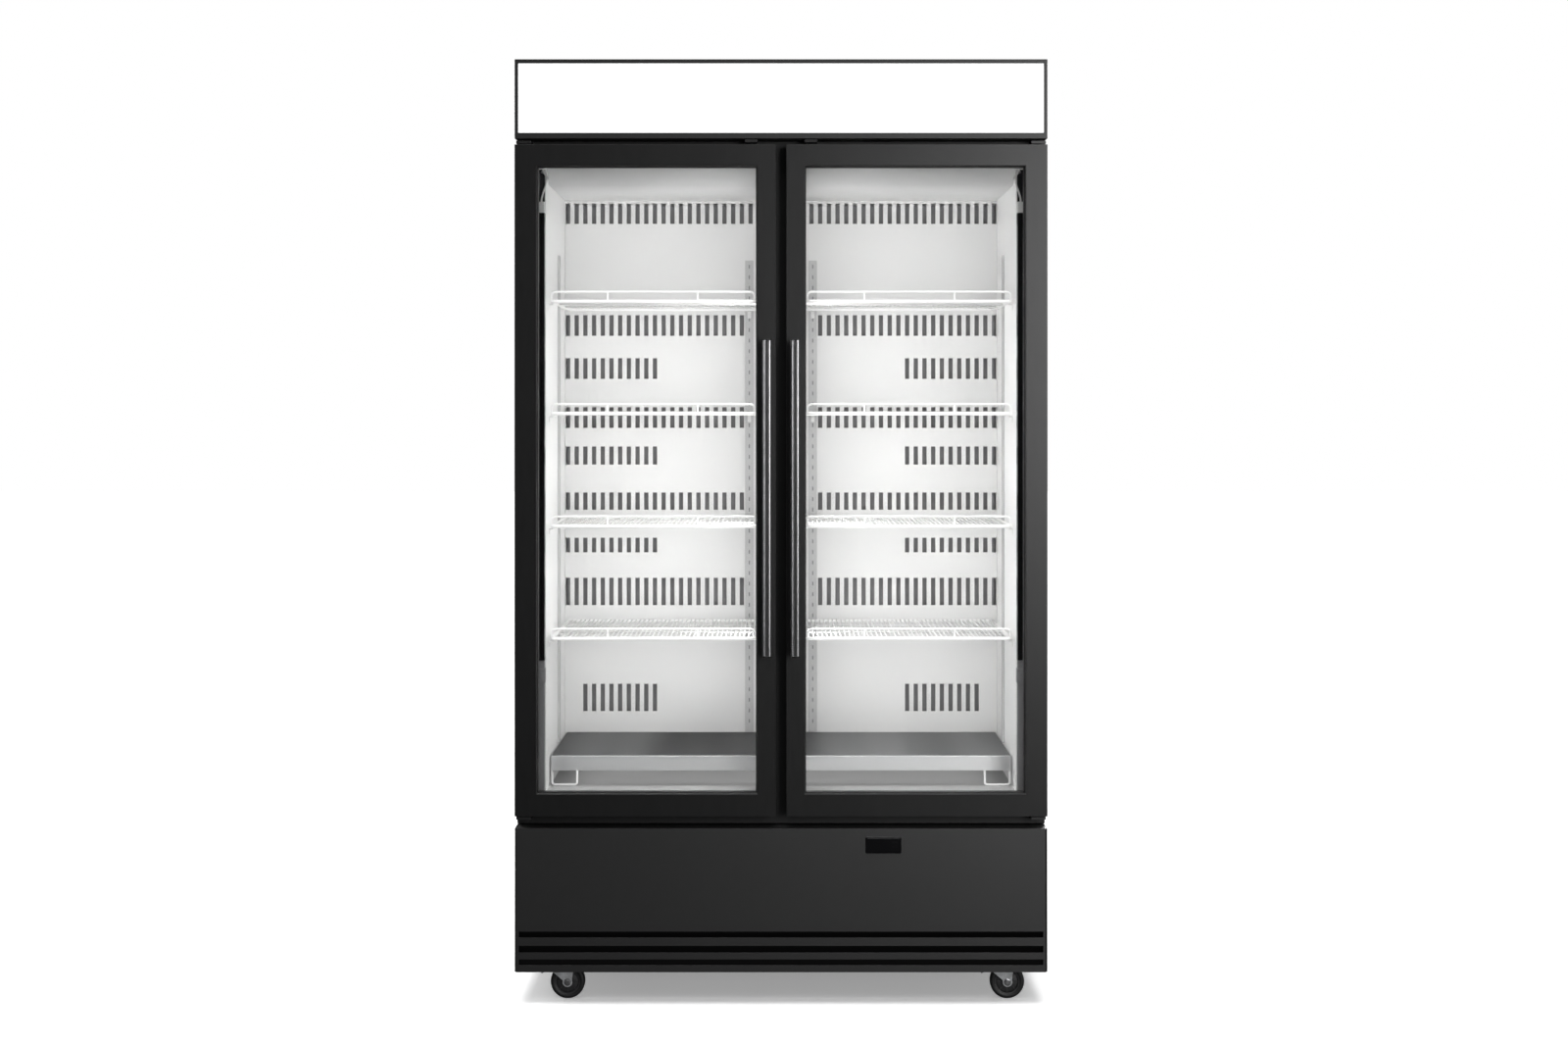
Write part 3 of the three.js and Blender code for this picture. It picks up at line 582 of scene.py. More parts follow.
def cabinet_shell():
    """The panels with their screws, and a rubber stop for each door under the header."""
    for node, (material, bevel) in SHELL.items():
        dress(node, material, bevel * MM)
    lo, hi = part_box("rear_panel")
    sides = (lo.x + EDGE_SCREW, hi.x - EDGE_SCREW)
    places = [(x, hi.y, z) for x in sides for z in stepped(lo.z + 0.06, hi.z - 0.06, 7)]
    places += [(x, hi.y, hi.z - EDGE_SCREW) for x in stepped(lo.x + 0.12, hi.x - 0.12, 5)]
    screws("rear_panel_screws", places, "+y")
    lo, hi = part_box("header_case")
    places = [(x, hi.y, hi.z - EDGE_SCREW) for x in stepped(lo.x + 0.03, hi.x - 0.03, 6)]
    screws("header_screws", places, "+y")
    bumpers = Shape()
    for side in SIDES.values():
        place = (side * BUMPER_X, FRONT, lo.z)
        bumpers.box(place, place, (-14, 4, -8), (14, 30, -0.3))
    bumpers.piece("door_stop_bumpers", "rubber", "gasket_rubber", bevel=2 * MM)


# ---------- interior ----------

SLOT_PITCH = 20.6 * MM
SLOT_WIDTH = 10.3 * MM
HALF_ROW = 25
# Each row of air slots: bottom, top, and the first and last slot counted from the side wall.
SLOT_ROWS = [
    (1.717, 1.765, 0, 24),
    (1.452, 1.501, 0, 20),
    (1.350, 1.399, 0, 10),
    (1.234, 1.283, 0, 20),
    (1.147, 1.190, 0, 10),
    (1.040, 1.081, 0, 20),
    (0.939, 0.974, 0, 10),
    (0.814, 0.879, 0, 20),
    (0.563, 0.628, 2, 10),
]


def duct_panel():
    """A white sheet with rows of air slots, and a grey sheet behind them that paints the shade seen through
    the slots.
    """
    lo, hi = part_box("duct_panel")
    half = SLOT_WIDTH / 2
    centres = [side * (HALF_ROW - 0.5 - i) * SLOT_PITCH for i in range(HALF_ROW) for side in (-1, 1)]
    edges = {round(edge, 6) for centre in centres for edge in (centre - half, centre + half)}
    us = [lo.x, *sorted(edges), hi.x]
    vs = sorted({lo.z, hi.z, *[z for row in SLOT_ROWS for z in row[:2]]})

    def is_hole(u, v):
        index = HALF_ROW - 0.5 - abs(u) / SLOT_PITCH
        on_slot = abs(index - round(index)) * SLOT_PITCH < half
        rows = [row for row in SLOT_ROWS if row[0] < v < row[1]]
        return on_slot and bool(rows) and rows[0][2] <= round(index) <= rows[0][3]

    panel = Shape().pierced(us, vs, is_hole, lambda u, v: (u, lo.y, v), (0, hi.y - lo.y, 0))
    panel.piece("duct_panel_slotted", "duct_white", "liner_white", replaces=("duct_panel",))
    # Painted shade: a grey sheet behind the slots stands for the shade inside the duct.
    backing = Shape().box((lo.x, hi.y, lo.z), hi, (4, 12, 10), (-4, 16, -10))
    backing.piece("duct_shade_backing", "painted_shade_grey", "grey_plastic")


CEILING_RISE = 61.7 * MM
CEILING_SHEET = 1.2 * MM


def ceiling_panel():
    """A painted sheet under the liner's ceiling, which rises towards the doorway."""
    front, high = depth("liner"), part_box("liner")[1].z - 2.3 * MM
    lo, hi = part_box("duct_panel")
    low = hi.z + 0.5 * MM
    line = [(front + 0.5 * MM, high), (front + CEILING_RISE, low), (lo.y - 0.5 * MM, low)]
    outline = line + [(y, z - CEILING_SHEET) for y, z in reversed(line)]
    panel = Shape().prism(outline, "x", lo.x + 1 * MM, hi.x - 1 * MM)
    # Its finish carries painted shade, darker towards the doorway.
    panel.piece("ceiling_panel", "ceiling_enamel_painted_shade", "liner_white", smooth=50)


POST_PITCH = 25 * MM
POST_SLOTS = 44
POST_SLOT = (3 * MM, 9 * MM)
POST_FIRST_SLOT = 20 * MM
POST_SHEET = 1.2 * MM


def post(node, facing):
    """A pressed channel with a ladder of slots, and a dark strip behind them that paints the shade inside the
    channel.

    facing is the axis that its slotted face looks along.
    """
    lo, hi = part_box(node)
    low, high = (lo.x, hi.x) if facing == "-y" else (lo.y, hi.y)
    middle = (low + high) / 2
    width, height = POST_SLOT
    starts = [lo.z + POST_FIRST_SLOT + i * POST_PITCH for i in range(POST_SLOTS)]
    us = [low, middle - width / 2, middle + width / 2, high]
    vs = sorted([lo.z, hi.z, *starts, *[z + height for z in starts]])

    def is_hole(u, v):
        return abs(u - middle) < width / 2 and any(z < v < z + height for z in starts)

    channel, strip = Shape(), Shape()
    foot, head = lo.z + 5 * MM, hi.z - 5 * MM
    if facing == "-y":
        inside = lo.y + POST_SHEET
        channel.pierced(us, vs, is_hole, lambda u, v: (u, lo.y, v), (0, POST_SHEET, 0))
        strip.box((middle - width, inside, foot), (middle + width, inside + POST_SHEET / 2, head))
        for x in (lo.x, hi.x - POST_SHEET):
            channel.box((x, inside, lo.z), (x + POST_SHEET, hi.y, hi.z))
    else:
        face, back, inward = (hi.x, lo.x, -1) if facing == "+x" else (lo.x, hi.x, 1)
        inside = face + inward * POST_SHEET
        channel.pierced(us, vs, is_hole, lambda u, v: (face, u, v), (inward * POST_SHEET, 0, 0))
        behind = inside + inward * POST_SHEET / 2
        strip.box((inside, middle - width, foot), (behind, middle + width, head))
        for y in (lo.y, hi.y - POST_SHEET):
            channel.box((inside, y, lo.z), (back, y + POST_SHEET, hi.z))
    channel.piece(f"{node}_channel", "post_grey", "liner_white", replaces=(node,))
    # Painted shade: the dark strip stands for the shade inside the channel behind the slots.
    strip.piece(f"{node}_strip", "painted_shade_grey", "grey_plastic")


SHELVES = (1, 2, 3, 4)
WIRE_PITCH = 10 * MM
WIRE_RADIUS = 1.5 * MM
RIM_RADIUS = 3.7 * MM
RIM_BEND = 8 * MM
LIP_RADIUS = 2.3 * MM
LIP_BEND = 9 * MM
LIP_SPAN = (0.058, 0.5)
LIP_UPRIGHTS = (0.275, 0.72)


def shelf(word, side, number):
    """A wire rim with rounded corners and a raised lip at the front, round a grid of close wires."""
    node = f"shelf_{word}_{number}"
    lo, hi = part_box(node)
    x0, x1 = lo.x + RIM_RADIUS, hi.x - RIM_RADIUS
    y0, y1 = lo.y + RIM_RADIUS, hi.y - RIM_RADIUS
    rim_z = lo.z + 2.7 * MM
    left, right, near, far = x0 + RIM_BEND, x1 - RIM_BEND, y0 + RIM_BEND, y1 - RIM_BEND
    corners = [((left, near), 180), ((right, near), 270), ((right, far), 0), ((left, far), 90)]
    loop = [(u, v, rim_z) for centre, a in corners for u, v in arc(centre, RIM_BEND, a, a + 90, 4)]
    rim = Shape().tube(loop, RIM_RADIUS, 10, closed=True)
    lip_top = hi.z - LIP_RADIUS
    a, b = mirrored(side, *LIP_SPAN)
    lip = [
        (a, rim_z),
        *arc((a + LIP_BEND, lip_top - LIP_BEND), LIP_BEND, 180, 90, 4),
        *arc((b - LIP_BEND, lip_top - LIP_BEND), LIP_BEND, 90, 0, 4),
        (b, rim_z),
    ]
    rim.tube([(u, y0, v) for u, v in lip], LIP_RADIUS, 8)
    for share in LIP_UPRIGHTS:
        x = side * (LIP_SPAN[1] - share * (b - a))
        rim.tube([(x, y0, rim_z), (x, y0, lip_top)], LIP_RADIUS, 8)
    rim.piece(f"{node}_rim", "white_wire", "wire_white", replaces=(node,))
    shelf_grid(f"{node}_grid", x0, x1, y0, y1, rim_z + RIM_RADIUS - 0.6 * MM)


def shelf_grid(name, x0, x1, y0, y1, z):
    """Close wires from front to back, turned down at the front rim, over two cross wires."""
    grid = Shape()
    for share in (0.33, 0.67):
        y = y0 + share * (y1 - y0)
        grid.tube([(x0, y, z - 3.2 * MM), (x1, y, z - 3.2 * MM)], 2 * MM, 8)
    count = int((x1 - x0) / WIRE_PITCH)
    first = (x0 + x1) / 2 - WIRE_PITCH * (count - 1) / 2
    for i in range(count):
        x = first + i * WIRE_PITCH
        wire = [(x, y0 - 2 * MM, z - 1.5 * MM), (x, y0 + 1 * MM, z), (x, y1 + 1 * MM, z)]
        grid.tube(wire, WIRE_RADIUS, 6)
    # Painted shade: the grid wires take a grey copy of the white wire.
    grid.piece(name, "grid_wire_painted_shade", "wire_white")


def shelf_clips():
    """Hooked clips that carry each shelf: two on the side wall and one on the rear post."""
    clips = Shape()
    for word, side in SIDES.items():
        wall_lo, wall_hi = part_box(f"side_post_{word}")
        rear_lo, rear_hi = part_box(f"rear_post_{word}")
        inner = wall_lo.x if side > 0 else wall_hi.x
        for number in SHELVES:
            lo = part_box(f"shelf_{word}_{number}")[0]
            z = lo.z - 2 * MM
            for y in ((wall_lo.y + wall_hi.y) / 2, lo.y + 12 * MM):
                place = (inner, y, z)
                clips.box(place, place, (-9 * side, -4, -3), (-0.2 * side, 4, 0))
                clips.box(place, place, (-2 * side, -4, -14), (-0.2 * side, 4, -3))
            place = ((rear_lo.x + rear_hi.x) / 2, rear_lo.y, z)
            clips.box(place, place, (-4, -16, -3), (4, -0.2, 0))
            clips.box(place, place, (-4, -2.2, -16), (4, -0.2, -3))
    clips.piece("shelf_clips", "pale_plastic", "liner_white", bevel=0.6 * MM)


STAND_WIRE = 2.5 * MM
STAND_BEND = 6 * MM
STAND_FOOT = (0.448, 0.508)
STAND_REACH = 0.45


def deck_and_stand():
    """The steel deck, its wire stand with a U-shaped foot at each end, and a tray on the floor made grey for
    the shade under the deck.
    """
    dress("base_deck", "deck_steel", 1.2 * MM)
    lo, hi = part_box("deck_stand")
    top, foot = hi.z - STAND_WIRE, lo.z + STAND_WIRE + STAND_BEND
    front, rear = lo.y + STAND_WIRE, hi.y - STAND_WIRE
    stand = Shape()
    for side in SIDES.values():
        a, b = mirrored(side, STAND_FOOT[0] + STAND_WIRE, STAND_FOOT[1] - STAND_WIRE)
        u_shape = [
            (a, top),
            *arc((a + STAND_BEND, foot), STAND_BEND, 180, 270, 4),
            *arc((b - STAND_BEND, foot), STAND_BEND, 270, 360, 4),
            (b, top),
        ]
        stand.tube([(u, front, v) for u, v in u_shape], STAND_WIRE, 10)
        x = a if side > 0 else b
        stand.tube([(x, front, top), (x, rear, top)], STAND_WIRE, 10)
    stand.tube([(-STAND_REACH, rear, top), (STAND_REACH, rear, top)], STAND_WIRE, 10)
    stand.piece("deck_stand_wires", "white_wire", "wire_white", replaces=("deck_stand",))
    floor_lo, floor_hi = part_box("liner")
    far_corner = (floor_hi.x, depth("duct_panel"), lo.z)
    # Painted shade: a grey sheet on the white liner floor stands for the shade under the deck.
    tray = Shape().box((floor_lo.x, floor_lo.y, lo.z), far_corner, (3, 1, -0.5), (-3, -1, 0.3))
    tray.piece("floor_tray", "tray_painted_shade", "liner_white")


LED_PLUG = 23 * MM


def led_lamp(word, side):
    """A black lamp bar, with its lens, ribbed connector, end clip, and the strip below it."""
    dress(f"led_bar_{word}", "black_gloss", 1 * MM)
    lo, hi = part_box(f"led_bar_{word}")
    bar_top = hi.z - LED_PLUG
    lens = Shape().box((lo.x, hi.y, lo.z), (hi.x, hi.y, bar_top), (3, -0.5, 12), (-3, 1, -12))
    lens.piece(f"led_lens_{word}", "lamp_lens", "lamp_white", bevel=0.4 * MM)
    plug = Shape().box((lo.x, lo.y, bar_top), hi, (0.6, 1, 0), (-0.6, -1, 1))
    for rise in (5, 11, 17):
        plug.box((lo.x, lo.y, bar_top), (hi.x, hi.y, bar_top), (0, 0.2, rise), (0, -0.2, rise + 1.6))
    plug.piece(f"led_connector_{word}", "pale_plastic", "grey_plastic", bevel=0.5 * MM)
    clip = Shape().box(lo, (hi.x, hi.y, lo.z), (-1, -1, -50), (0.8, 0, -18))
    clip.box(lo, (hi.x, lo.y, lo.z), (2, -2.5, -44), (-3, 0, -26))
    clip.piece(f"led_end_clip_{word}", "grey_plastic", "grey_plastic", bevel=1 * MM)
    frame_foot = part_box("front_frame")[0].z
    strip = Shape().box((lo.x, lo.y, frame_foot), (hi.x, hi.y, lo.z), (1, 4, 66), (-1, 0, -1))
    strip.piece(f"jamb_strip_{word}", "grey_plastic", "grey_plastic", bevel=0.8 * MM)
    led_bracket(word, side, lo.y, hi.y)


BRACKET_SPAN = (510.5 * MM, 527.5 * MM)
BRACKET_SCREW = 517 * MM
BRACE = in_mm([(519, 1795), (505, 1775), (502, 1777), (515, 1798)])


def led_bracket(word, side, front, rear):
    """A plate with a slanting brace that holds the lamp's lead at the ceiling corner."""
    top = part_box(f"led_lead_{word}")[1].z
    x0, x1 = [side * x for x in BRACKET_SPAN]
    bracket = Shape().box((x0, front, top), (x1, rear, top), (0, -3, -4), (0, 0, 1))
    bracket.prism([(side * x, z) for x, z in BRACE], "y", front + 4 * MM, front + 6 * MM)
    bracket.piece(f"led_bracket_{word}", "pale_plastic", "grey_plastic", bevel=0.6 * MM)
    place = (side * BRACKET_SCREW, front + 4 * MM, top - 12 * MM)
    screws(f"led_bracket_screw_{word}", [place], "-y", radius=3 * MM)


# The right lead's route, given as x, distance behind the doors' front face, and z.
LEAD_ROUTE = in_mm([
    (520, 74, 1727.3), (519.6, 74, 1736), (516, 75, 1750), (511.5, 76.5, 1764),
    (510, 78, 1778), (511.5, 79, 1790), (515, 80, 1797), (519, 80.4, 1802.5),
])


def smooth_line(points, per_span=6):
    """A Catmull-Rom line through the points."""
    points = [Vector(p) for p in points]
    ends = [2 * points[0] - points[1], *points, 2 * points[-1] - points[-2]]
    line = []
    for a, b, c, d in zip(ends, ends[1:], ends[2:], ends[3:]):
        for k in range(per_span):
            t = k / per_span
            line.append(0.5 * (2 * b + (c - a) * t + (2 * a - 5 * b + 4 * c - d) * t * t
                               + (3 * b - a - 3 * c + d) * t ** 3))
    return [*line, points[-1]]


def led_lead(word, side):
    route = [(side * x, FRONT + y, z) for x, y, z in LEAD_ROUTE]
    lead = Shape().tube(smooth_line(route), 2 * MM, 12)
    lead.piece(f"led_lead_{word}_jacket", "pale_plastic", "grey_plastic", replaces=(f"led_lead_{word}",))


# ---------- doors ----------

# The panes' front faces, in millimetres behind the front face.
PANE_FRONTS = (9, 27)
PANE = 4
# Sections of the frames round the panes: share of the way in, and millimetres behind the front face.
BEAD = [(0, 1.5), (0.3, 1.5), (1, 5), (1, 8.7), (0, 8.7)]
SPACER = [(0, 13.3), (1, 13.3), (1, 26.7), (0, 26.7)]
BACK_BEAD = [(0, 31.3), (1, 31.3), (1, 33), (0.4, 37), (0, 37)]


def door(word):
    """A door: its frame, a sealed unit of two panes between beads, a gasket and a handle."""
    body = f"door_{word}"
    dress(f"{body}_frame", "door_black", 1.2 * MM)
    lo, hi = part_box(f"{body}_glass")

    def inset(width):
        return (lo.x + width, hi.x - width, lo.z + width, hi.z - width)

    def surround(name, material, slot, outer, inner, section):
        profile = [(share, FRONT + y * MM) for share, y in section]
        shape = Shape().window_frame(inset(outer * MM), inset(inner * MM), profile)
        shape.piece(f"{body}_{name}", material, slot, body)

    surround("bead", "rubber", "gasket_rubber", 0, 2, BEAD)
    panes = Shape()
    for front in PANE_FRONTS:
        panes.box((lo.x, FRONT, lo.z), (hi.x, FRONT, hi.z), (1, front, 1), (-1, front + PANE, -1))
    panes.piece(f"{body}_panes", "glass", "door_glass", body, (f"{body}_glass",))
    surround("spacer", "black_paint", "black_plastic", 1, 3.5, SPACER)
    surround("back_bead", "rubber", "gasket_rubber", 0, 3, BACK_BEAD)
    gasket(body)
    handle(body)


GASKET_WIDTH = 14 * MM
# The gasket's section: share of its width inwards, and share of its depth back.
GASKET_SECTION = [
    (0.05, 0), (0.95, 0), (1, 0.14), (0.82, 0.28), (0.98, 0.46), (0.86, 0.6), (1, 0.72), (0.98, 1),
    (0.06, 1), (0, 0.72), (0.14, 0.6), (0.02, 0.46), (0.18, 0.28), (0, 0.14),
]


def gasket(body):
    """A magnetic gasket: a base, a bellows with two folds, and a flat magnet bead."""
    node = f"{body}_gasket"
    lo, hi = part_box(node)
    outer = (lo.x, hi.x, lo.z, hi.z)
    inner = (lo.x + GASKET_WIDTH, hi.x - GASKET_WIDTH, lo.z + GASKET_WIDTH, hi.z - GASKET_WIDTH)
    profile = [(share, lo.y + back * (hi.y - lo.y)) for share, back in GASKET_SECTION]
    shape = Shape().window_frame(outer, inner, profile)
    shape.piece(f"{node}_bellows", "rubber", "gasket_rubber", body, (node,), bevel=0.3 * MM)


HANDLE_GROOVE = (7.2 * MM, 9.4 * MM, 5 * MM)
HANDLE_DEPTH = 14 * MM
HANDLE_ROUND = 3 * MM
HANDLE_CAP = 2 * MM
HANDLE_POST_INSET = 37 * MM


def handle(body):
    """An extruded bar, with a narrow bead and a broad one either side of a groove, on two round posts."""
    node = f"{body}_handle"
    lo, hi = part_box(node)
    face, back = lo.y, lo.y + HANDLE_DEPTH
    groove_x0, groove_x1 = lo.x + HANDLE_GROOVE[0], lo.x + HANDLE_GROOVE[1]
    groove_y = face + HANDLE_GROOVE[2]
    outline = [
        *bead_arc(lo.x, groove_x0, face, 2.6 * MM),
        (groove_x0, groove_y),
        (groove_x1, groove_y),
        *bead_arc(groove_x1, hi.x, face + 0.6 * MM, 2.2 * MM),
        *arc((hi.x - HANDLE_ROUND, back - HANDLE_ROUND), HANDLE_ROUND, 0, 90, 5),
        *arc((lo.x + HANDLE_ROUND, back - HANDLE_ROUND), HANDLE_ROUND, 90, 180, 5),
    ]
    bar = Shape().prism(outline, "z", lo.z + HANDLE_CAP, hi.z - HANDLE_CAP)
    gap = FRONT - 0.3 * MM - back
    stem = [(6 * MM, 0), (6 * MM, gap - 3 * MM), (8.5 * MM, gap - 2.4 * MM), (8.5 * MM, gap + 0.5 * MM)]
    for z in (lo.z + HANDLE_POST_INSET, hi.z - HANDLE_POST_INSET):
        bar.disc(((lo.x + hi.x) / 2, back - 0.5 * MM, z), "y", stem, 28)
    bar.piece(f"{node}_bar", "handle_metal", "aluminium_satin", body, (node,), smooth=30)
    caps = Shape()
    for z in (lo.z, hi.z - HANDLE_CAP):
        caps.box((lo.x, face, z), (hi.x, back, z + HANDLE_CAP), (0.4, 0.4, 0), (-0.4, -0.4, 0))
    caps.piece(f"{node}_caps", "black_gloss", "black_plastic", body, bevel=0.8 * MM)
    near, far = (groove_x0, face, lo.z), (groove_x1, groove_y, hi.z)
    insert = Shape().box(near, far, (0.1, 3.4, 3), (-0.1, -0.1, -3))
    insert.piece(f"{node}_insert", "rubber", "gasket_rubber", body)


def bead_arc(start, end, top, rise, steps=8):
    """A shallow convex arc from start to end in x, its crown at y = top and its ends rise behind it."""
    middle, half = (start + end) / 2, (end - start) / 2
    shares = [-1 + 2 * i / steps for i in range(steps + 1)]
    return [(middle + half * t, top + rise * t * t) for t in shares]


def hinges():
    for word in SIDES:
        for level in ("top", "bottom"):
            node = f"hinge_{level}_{word}"
            dress(node, "black_paint", 0.8 * MM)
            lo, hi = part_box(node)
            z, axis = (hi.z, "+z") if level == "top" else (lo.z, "-z")
            places = [(x, hi.y - 9 * MM, z) for x in (lo.x + 9 * MM, hi.x - 9 * MM)]
            screws(f"{node}_screws", places, axis, radius=4 * MM, height=2 * MM)


# ---------- lower front ----------

# Bottom and top of each slot in the fascia.
FASCIA_SLOTS = [(0.149, 0.162), (0.117, 0.1315), (0.090, 0.1025)]


def lower_front():
    """The fascia with a slanting blade behind each slot, and the controller with its window and keys."""
    dress("lower_fascia", "charcoal_paint", 2 * MM)
    lo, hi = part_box("lower_fascia")
    blades = Shape()
    for low, high in FASCIA_SLOTS:
        y, top, foot = lo.y + 3.6 * MM, high + 3 * MM, low - 8 * MM
        blade = [(y, top), (y + 1.4 * MM, top), (y + 19 * MM, foot), (y + 17.6 * MM, foot)]
        blades.prism(blade, "x", lo.x + 3.4 * MM, hi.x - 3.4 * MM)
    blades.piece("fascia_louvres", "breaker", "black_steel", bevel=0.3 * MM)
    dress("controller", "black_gloss", 1.6 * MM)
    lo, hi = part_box("controller")
    window = Shape().box(lo, (hi.x, lo.y, hi.z), (3, -0.5, 3), (-3, 0.3, -3))
    window.piece("controller_window", "black_gloss", "black_plastic", bevel=0.4 * MM)
    keys = Shape()
    for rise in (5 * MM, -5 * MM):
        for inset in (12 * MM, 19 * MM):
            place = (hi.x - inset, lo.y - 0.4 * MM, (lo.z + hi.z) / 2 + rise)
            keys.disc(place, "y", in_mm([(2.4, 0), (2.2, -0.4), (1.2, -0.6)]), 20)
    keys.piece("controller_keys", "black_gloss", "black_plastic")


# ---------- castors ----------

TRAIL = 14 * MM
LEG_GAP = 14.5 * MM
LEG_SHEET = 2.5 * MM
FORK_HALF = LEG_GAP + LEG_SHEET
HALF_TREAD = 12 * MM
TREAD_ROUND = 5 * MM
SPOKES = 8
BOLT_OFFSET = 30 * MM


def castor(row, word):
    tag = f"{row}_{word}"
    lo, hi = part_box(f"castor_wheel_{tag}")
    centre = (lo + hi) / 2
    swivel = Vector((centre.x - TRAIL, centre.y, 0))
    castor_wheel(tag, centre, (hi.z - lo.z) / 2)
    castor_fork(tag, centre, swivel)
    bolts = Shape()
    plate_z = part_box("base_frame")[0].z
    for x in (swivel.x - BOLT_OFFSET, swivel.x + BOLT_OFFSET):
        for y in (swivel.y - BOLT_OFFSET, swivel.y + BOLT_OFFSET):
            bolts.disc((x, y, plate_z), "z", in_mm([(7, 0), (7, -1.2)]), 24)
            bolts.disc((x, y, plate_z - 1.2 * MM), "z", in_mm([(5.5, 0), (5.5, -4), (4.6, -4.8)]), 6)
    bolts.piece(f"castor_plate_bolts_{tag}", "zinc", "zinc_steel")


def two_sided(profile, between=()):
    """A wheel's section: the side given, what lies between, and the other side as its mirror image."""
    return [*profile, *between, *[(radius, -across) for radius, across in reversed(profile)]]


def castor_wheel(tag, centre, radius):
    """A rubber tyre on a rim with spokes, and the bearing's sleeve."""
    body = f"wheel_{tag}"
    tread = arc((radius - TREAD_ROUND, TREAD_ROUND - HALF_TREAD), TREAD_ROUND, -90, 0, 5)
    tread += arc((radius - TREAD_ROUND, HALF_TREAD - TREAD_ROUND), TREAD_ROUND, 0, 90, 5)
    tyre = Shape().lathe(centre, "y", two_sided(in_mm([(27, -11), (29, -12)]), tread), 64)
    tyre.piece(f"castor_tyre_{tag}", "tyre", "tyre_rubber", body, (f"castor_wheel_{tag}",), smooth=50)
    rim_side = in_mm([(10, -13), (12.5, -13), (13.5, -8), (22, -7), (24.5, -11), (26.8, -11.2)])
    rim = Shape().lathe(centre, "y", two_sided(rim_side), 64)
    for i in range(SPOKES):
        spoke = Shape().box(centre, centre, (12, -10, -1), (25, 10, 1))
        rim.take(spoke.move(turned_about(centre, i / SPOKES)))
    rim.piece(f"castor_rim_{tag}", "rim", "black_plastic", body, smooth=40)
    hub = Shape().lathe(centre, "y", two_sided(in_mm([(4.7, -13.6), (9.6, -13.6)])), 32)
    hub.piece(f"castor_bearing_{tag}", "zinc", "zinc_steel", body, bevel=0.4 * MM)


def turned_about(centre, share):
    """The matrix of a share of a full turn about the y direction through centre."""
    turn = Matrix.Rotation(2 * math.pi * share, 4, "Y")
    return Matrix.Translation(centre) @ turn @ Matrix.Translation(-centre)


FORK_HEAD = 78 * MM
AXLE_BOSS = 10.5 * MM
RACE = in_mm([(21, 0), (22.5, 2), (22.5, 6), (20, 7), (20, 8), (23, 9), (23, 14), (21, 15.6)])


def castor_fork(tag, centre, swivel):
    """A pressed fork: two waisted legs under a flat head, with race, axle bolt and lock nut."""
    node, body = f"castor_fork_{tag}", f"castor_{tag}"
    near, far = centre.y - FORK_HALF, centre.y + FORK_HALF
    leg = [
        (swivel.x + 25 * MM, FORK_HEAD + 2 * MM),
        (swivel.x + 27 * MM, FORK_HEAD - 8 * MM),
        *arc((centre.x, centre.z), AXLE_BOSS, 20, -200, 14),
        (swivel.x - 20 * MM, FORK_HEAD - 17 * MM),
        (swivel.x - 24 * MM, FORK_HEAD + 2 * MM),
    ]
    fork = Shape()
    for y in (near, centre.y + LEG_GAP):
        fork.prism(leg, "y", y, y + LEG_SHEET)
    fork.box((swivel.x, near, FORK_HEAD), (swivel.x, far, FORK_HEAD), (-26, 0, 0), (28, 0, 2.6))
    fork.disc((swivel.x, centre.y, FORK_HEAD + 2 * MM), "z", RACE, 40)
    fork.piece(f"{node}_pressing", "zinc", "zinc_steel", body, (node,), bevel=0.6 * MM)
    axle = Shape()
    for y, profile, sides in (
        (near - 5.2 * MM, in_mm([(5, 0), (6.6, 0.8), (6.6, 4.4)]), 6),
        (near - 0.8 * MM, in_mm([(8, 0), (8, 0.8)]), 28),
        (near, [(4 * MM, 0), (4 * MM, 2 * FORK_HALF)], 20),
        (far, in_mm([(6.4, 0), (6.4, 4), (4.6, 5), (4, 6.5)]), 6),
    ):
        axle.disc((centre.x, y, centre.z), "y", profile, sides)
    axle.piece(f"castor_axle_{tag}", "steel_screw", "zinc_steel", body, smooth=25)


PEDAL_PIVOT = (-21 * MM, 66 * MM)
PEDAL_PLATE = in_mm([(-1, 5.5), (-12, -1), (-22, -8), (-22.6, -10.5), (-20, -10.6), (-2, -2)])
EAR_TOP = 78.5 * MM


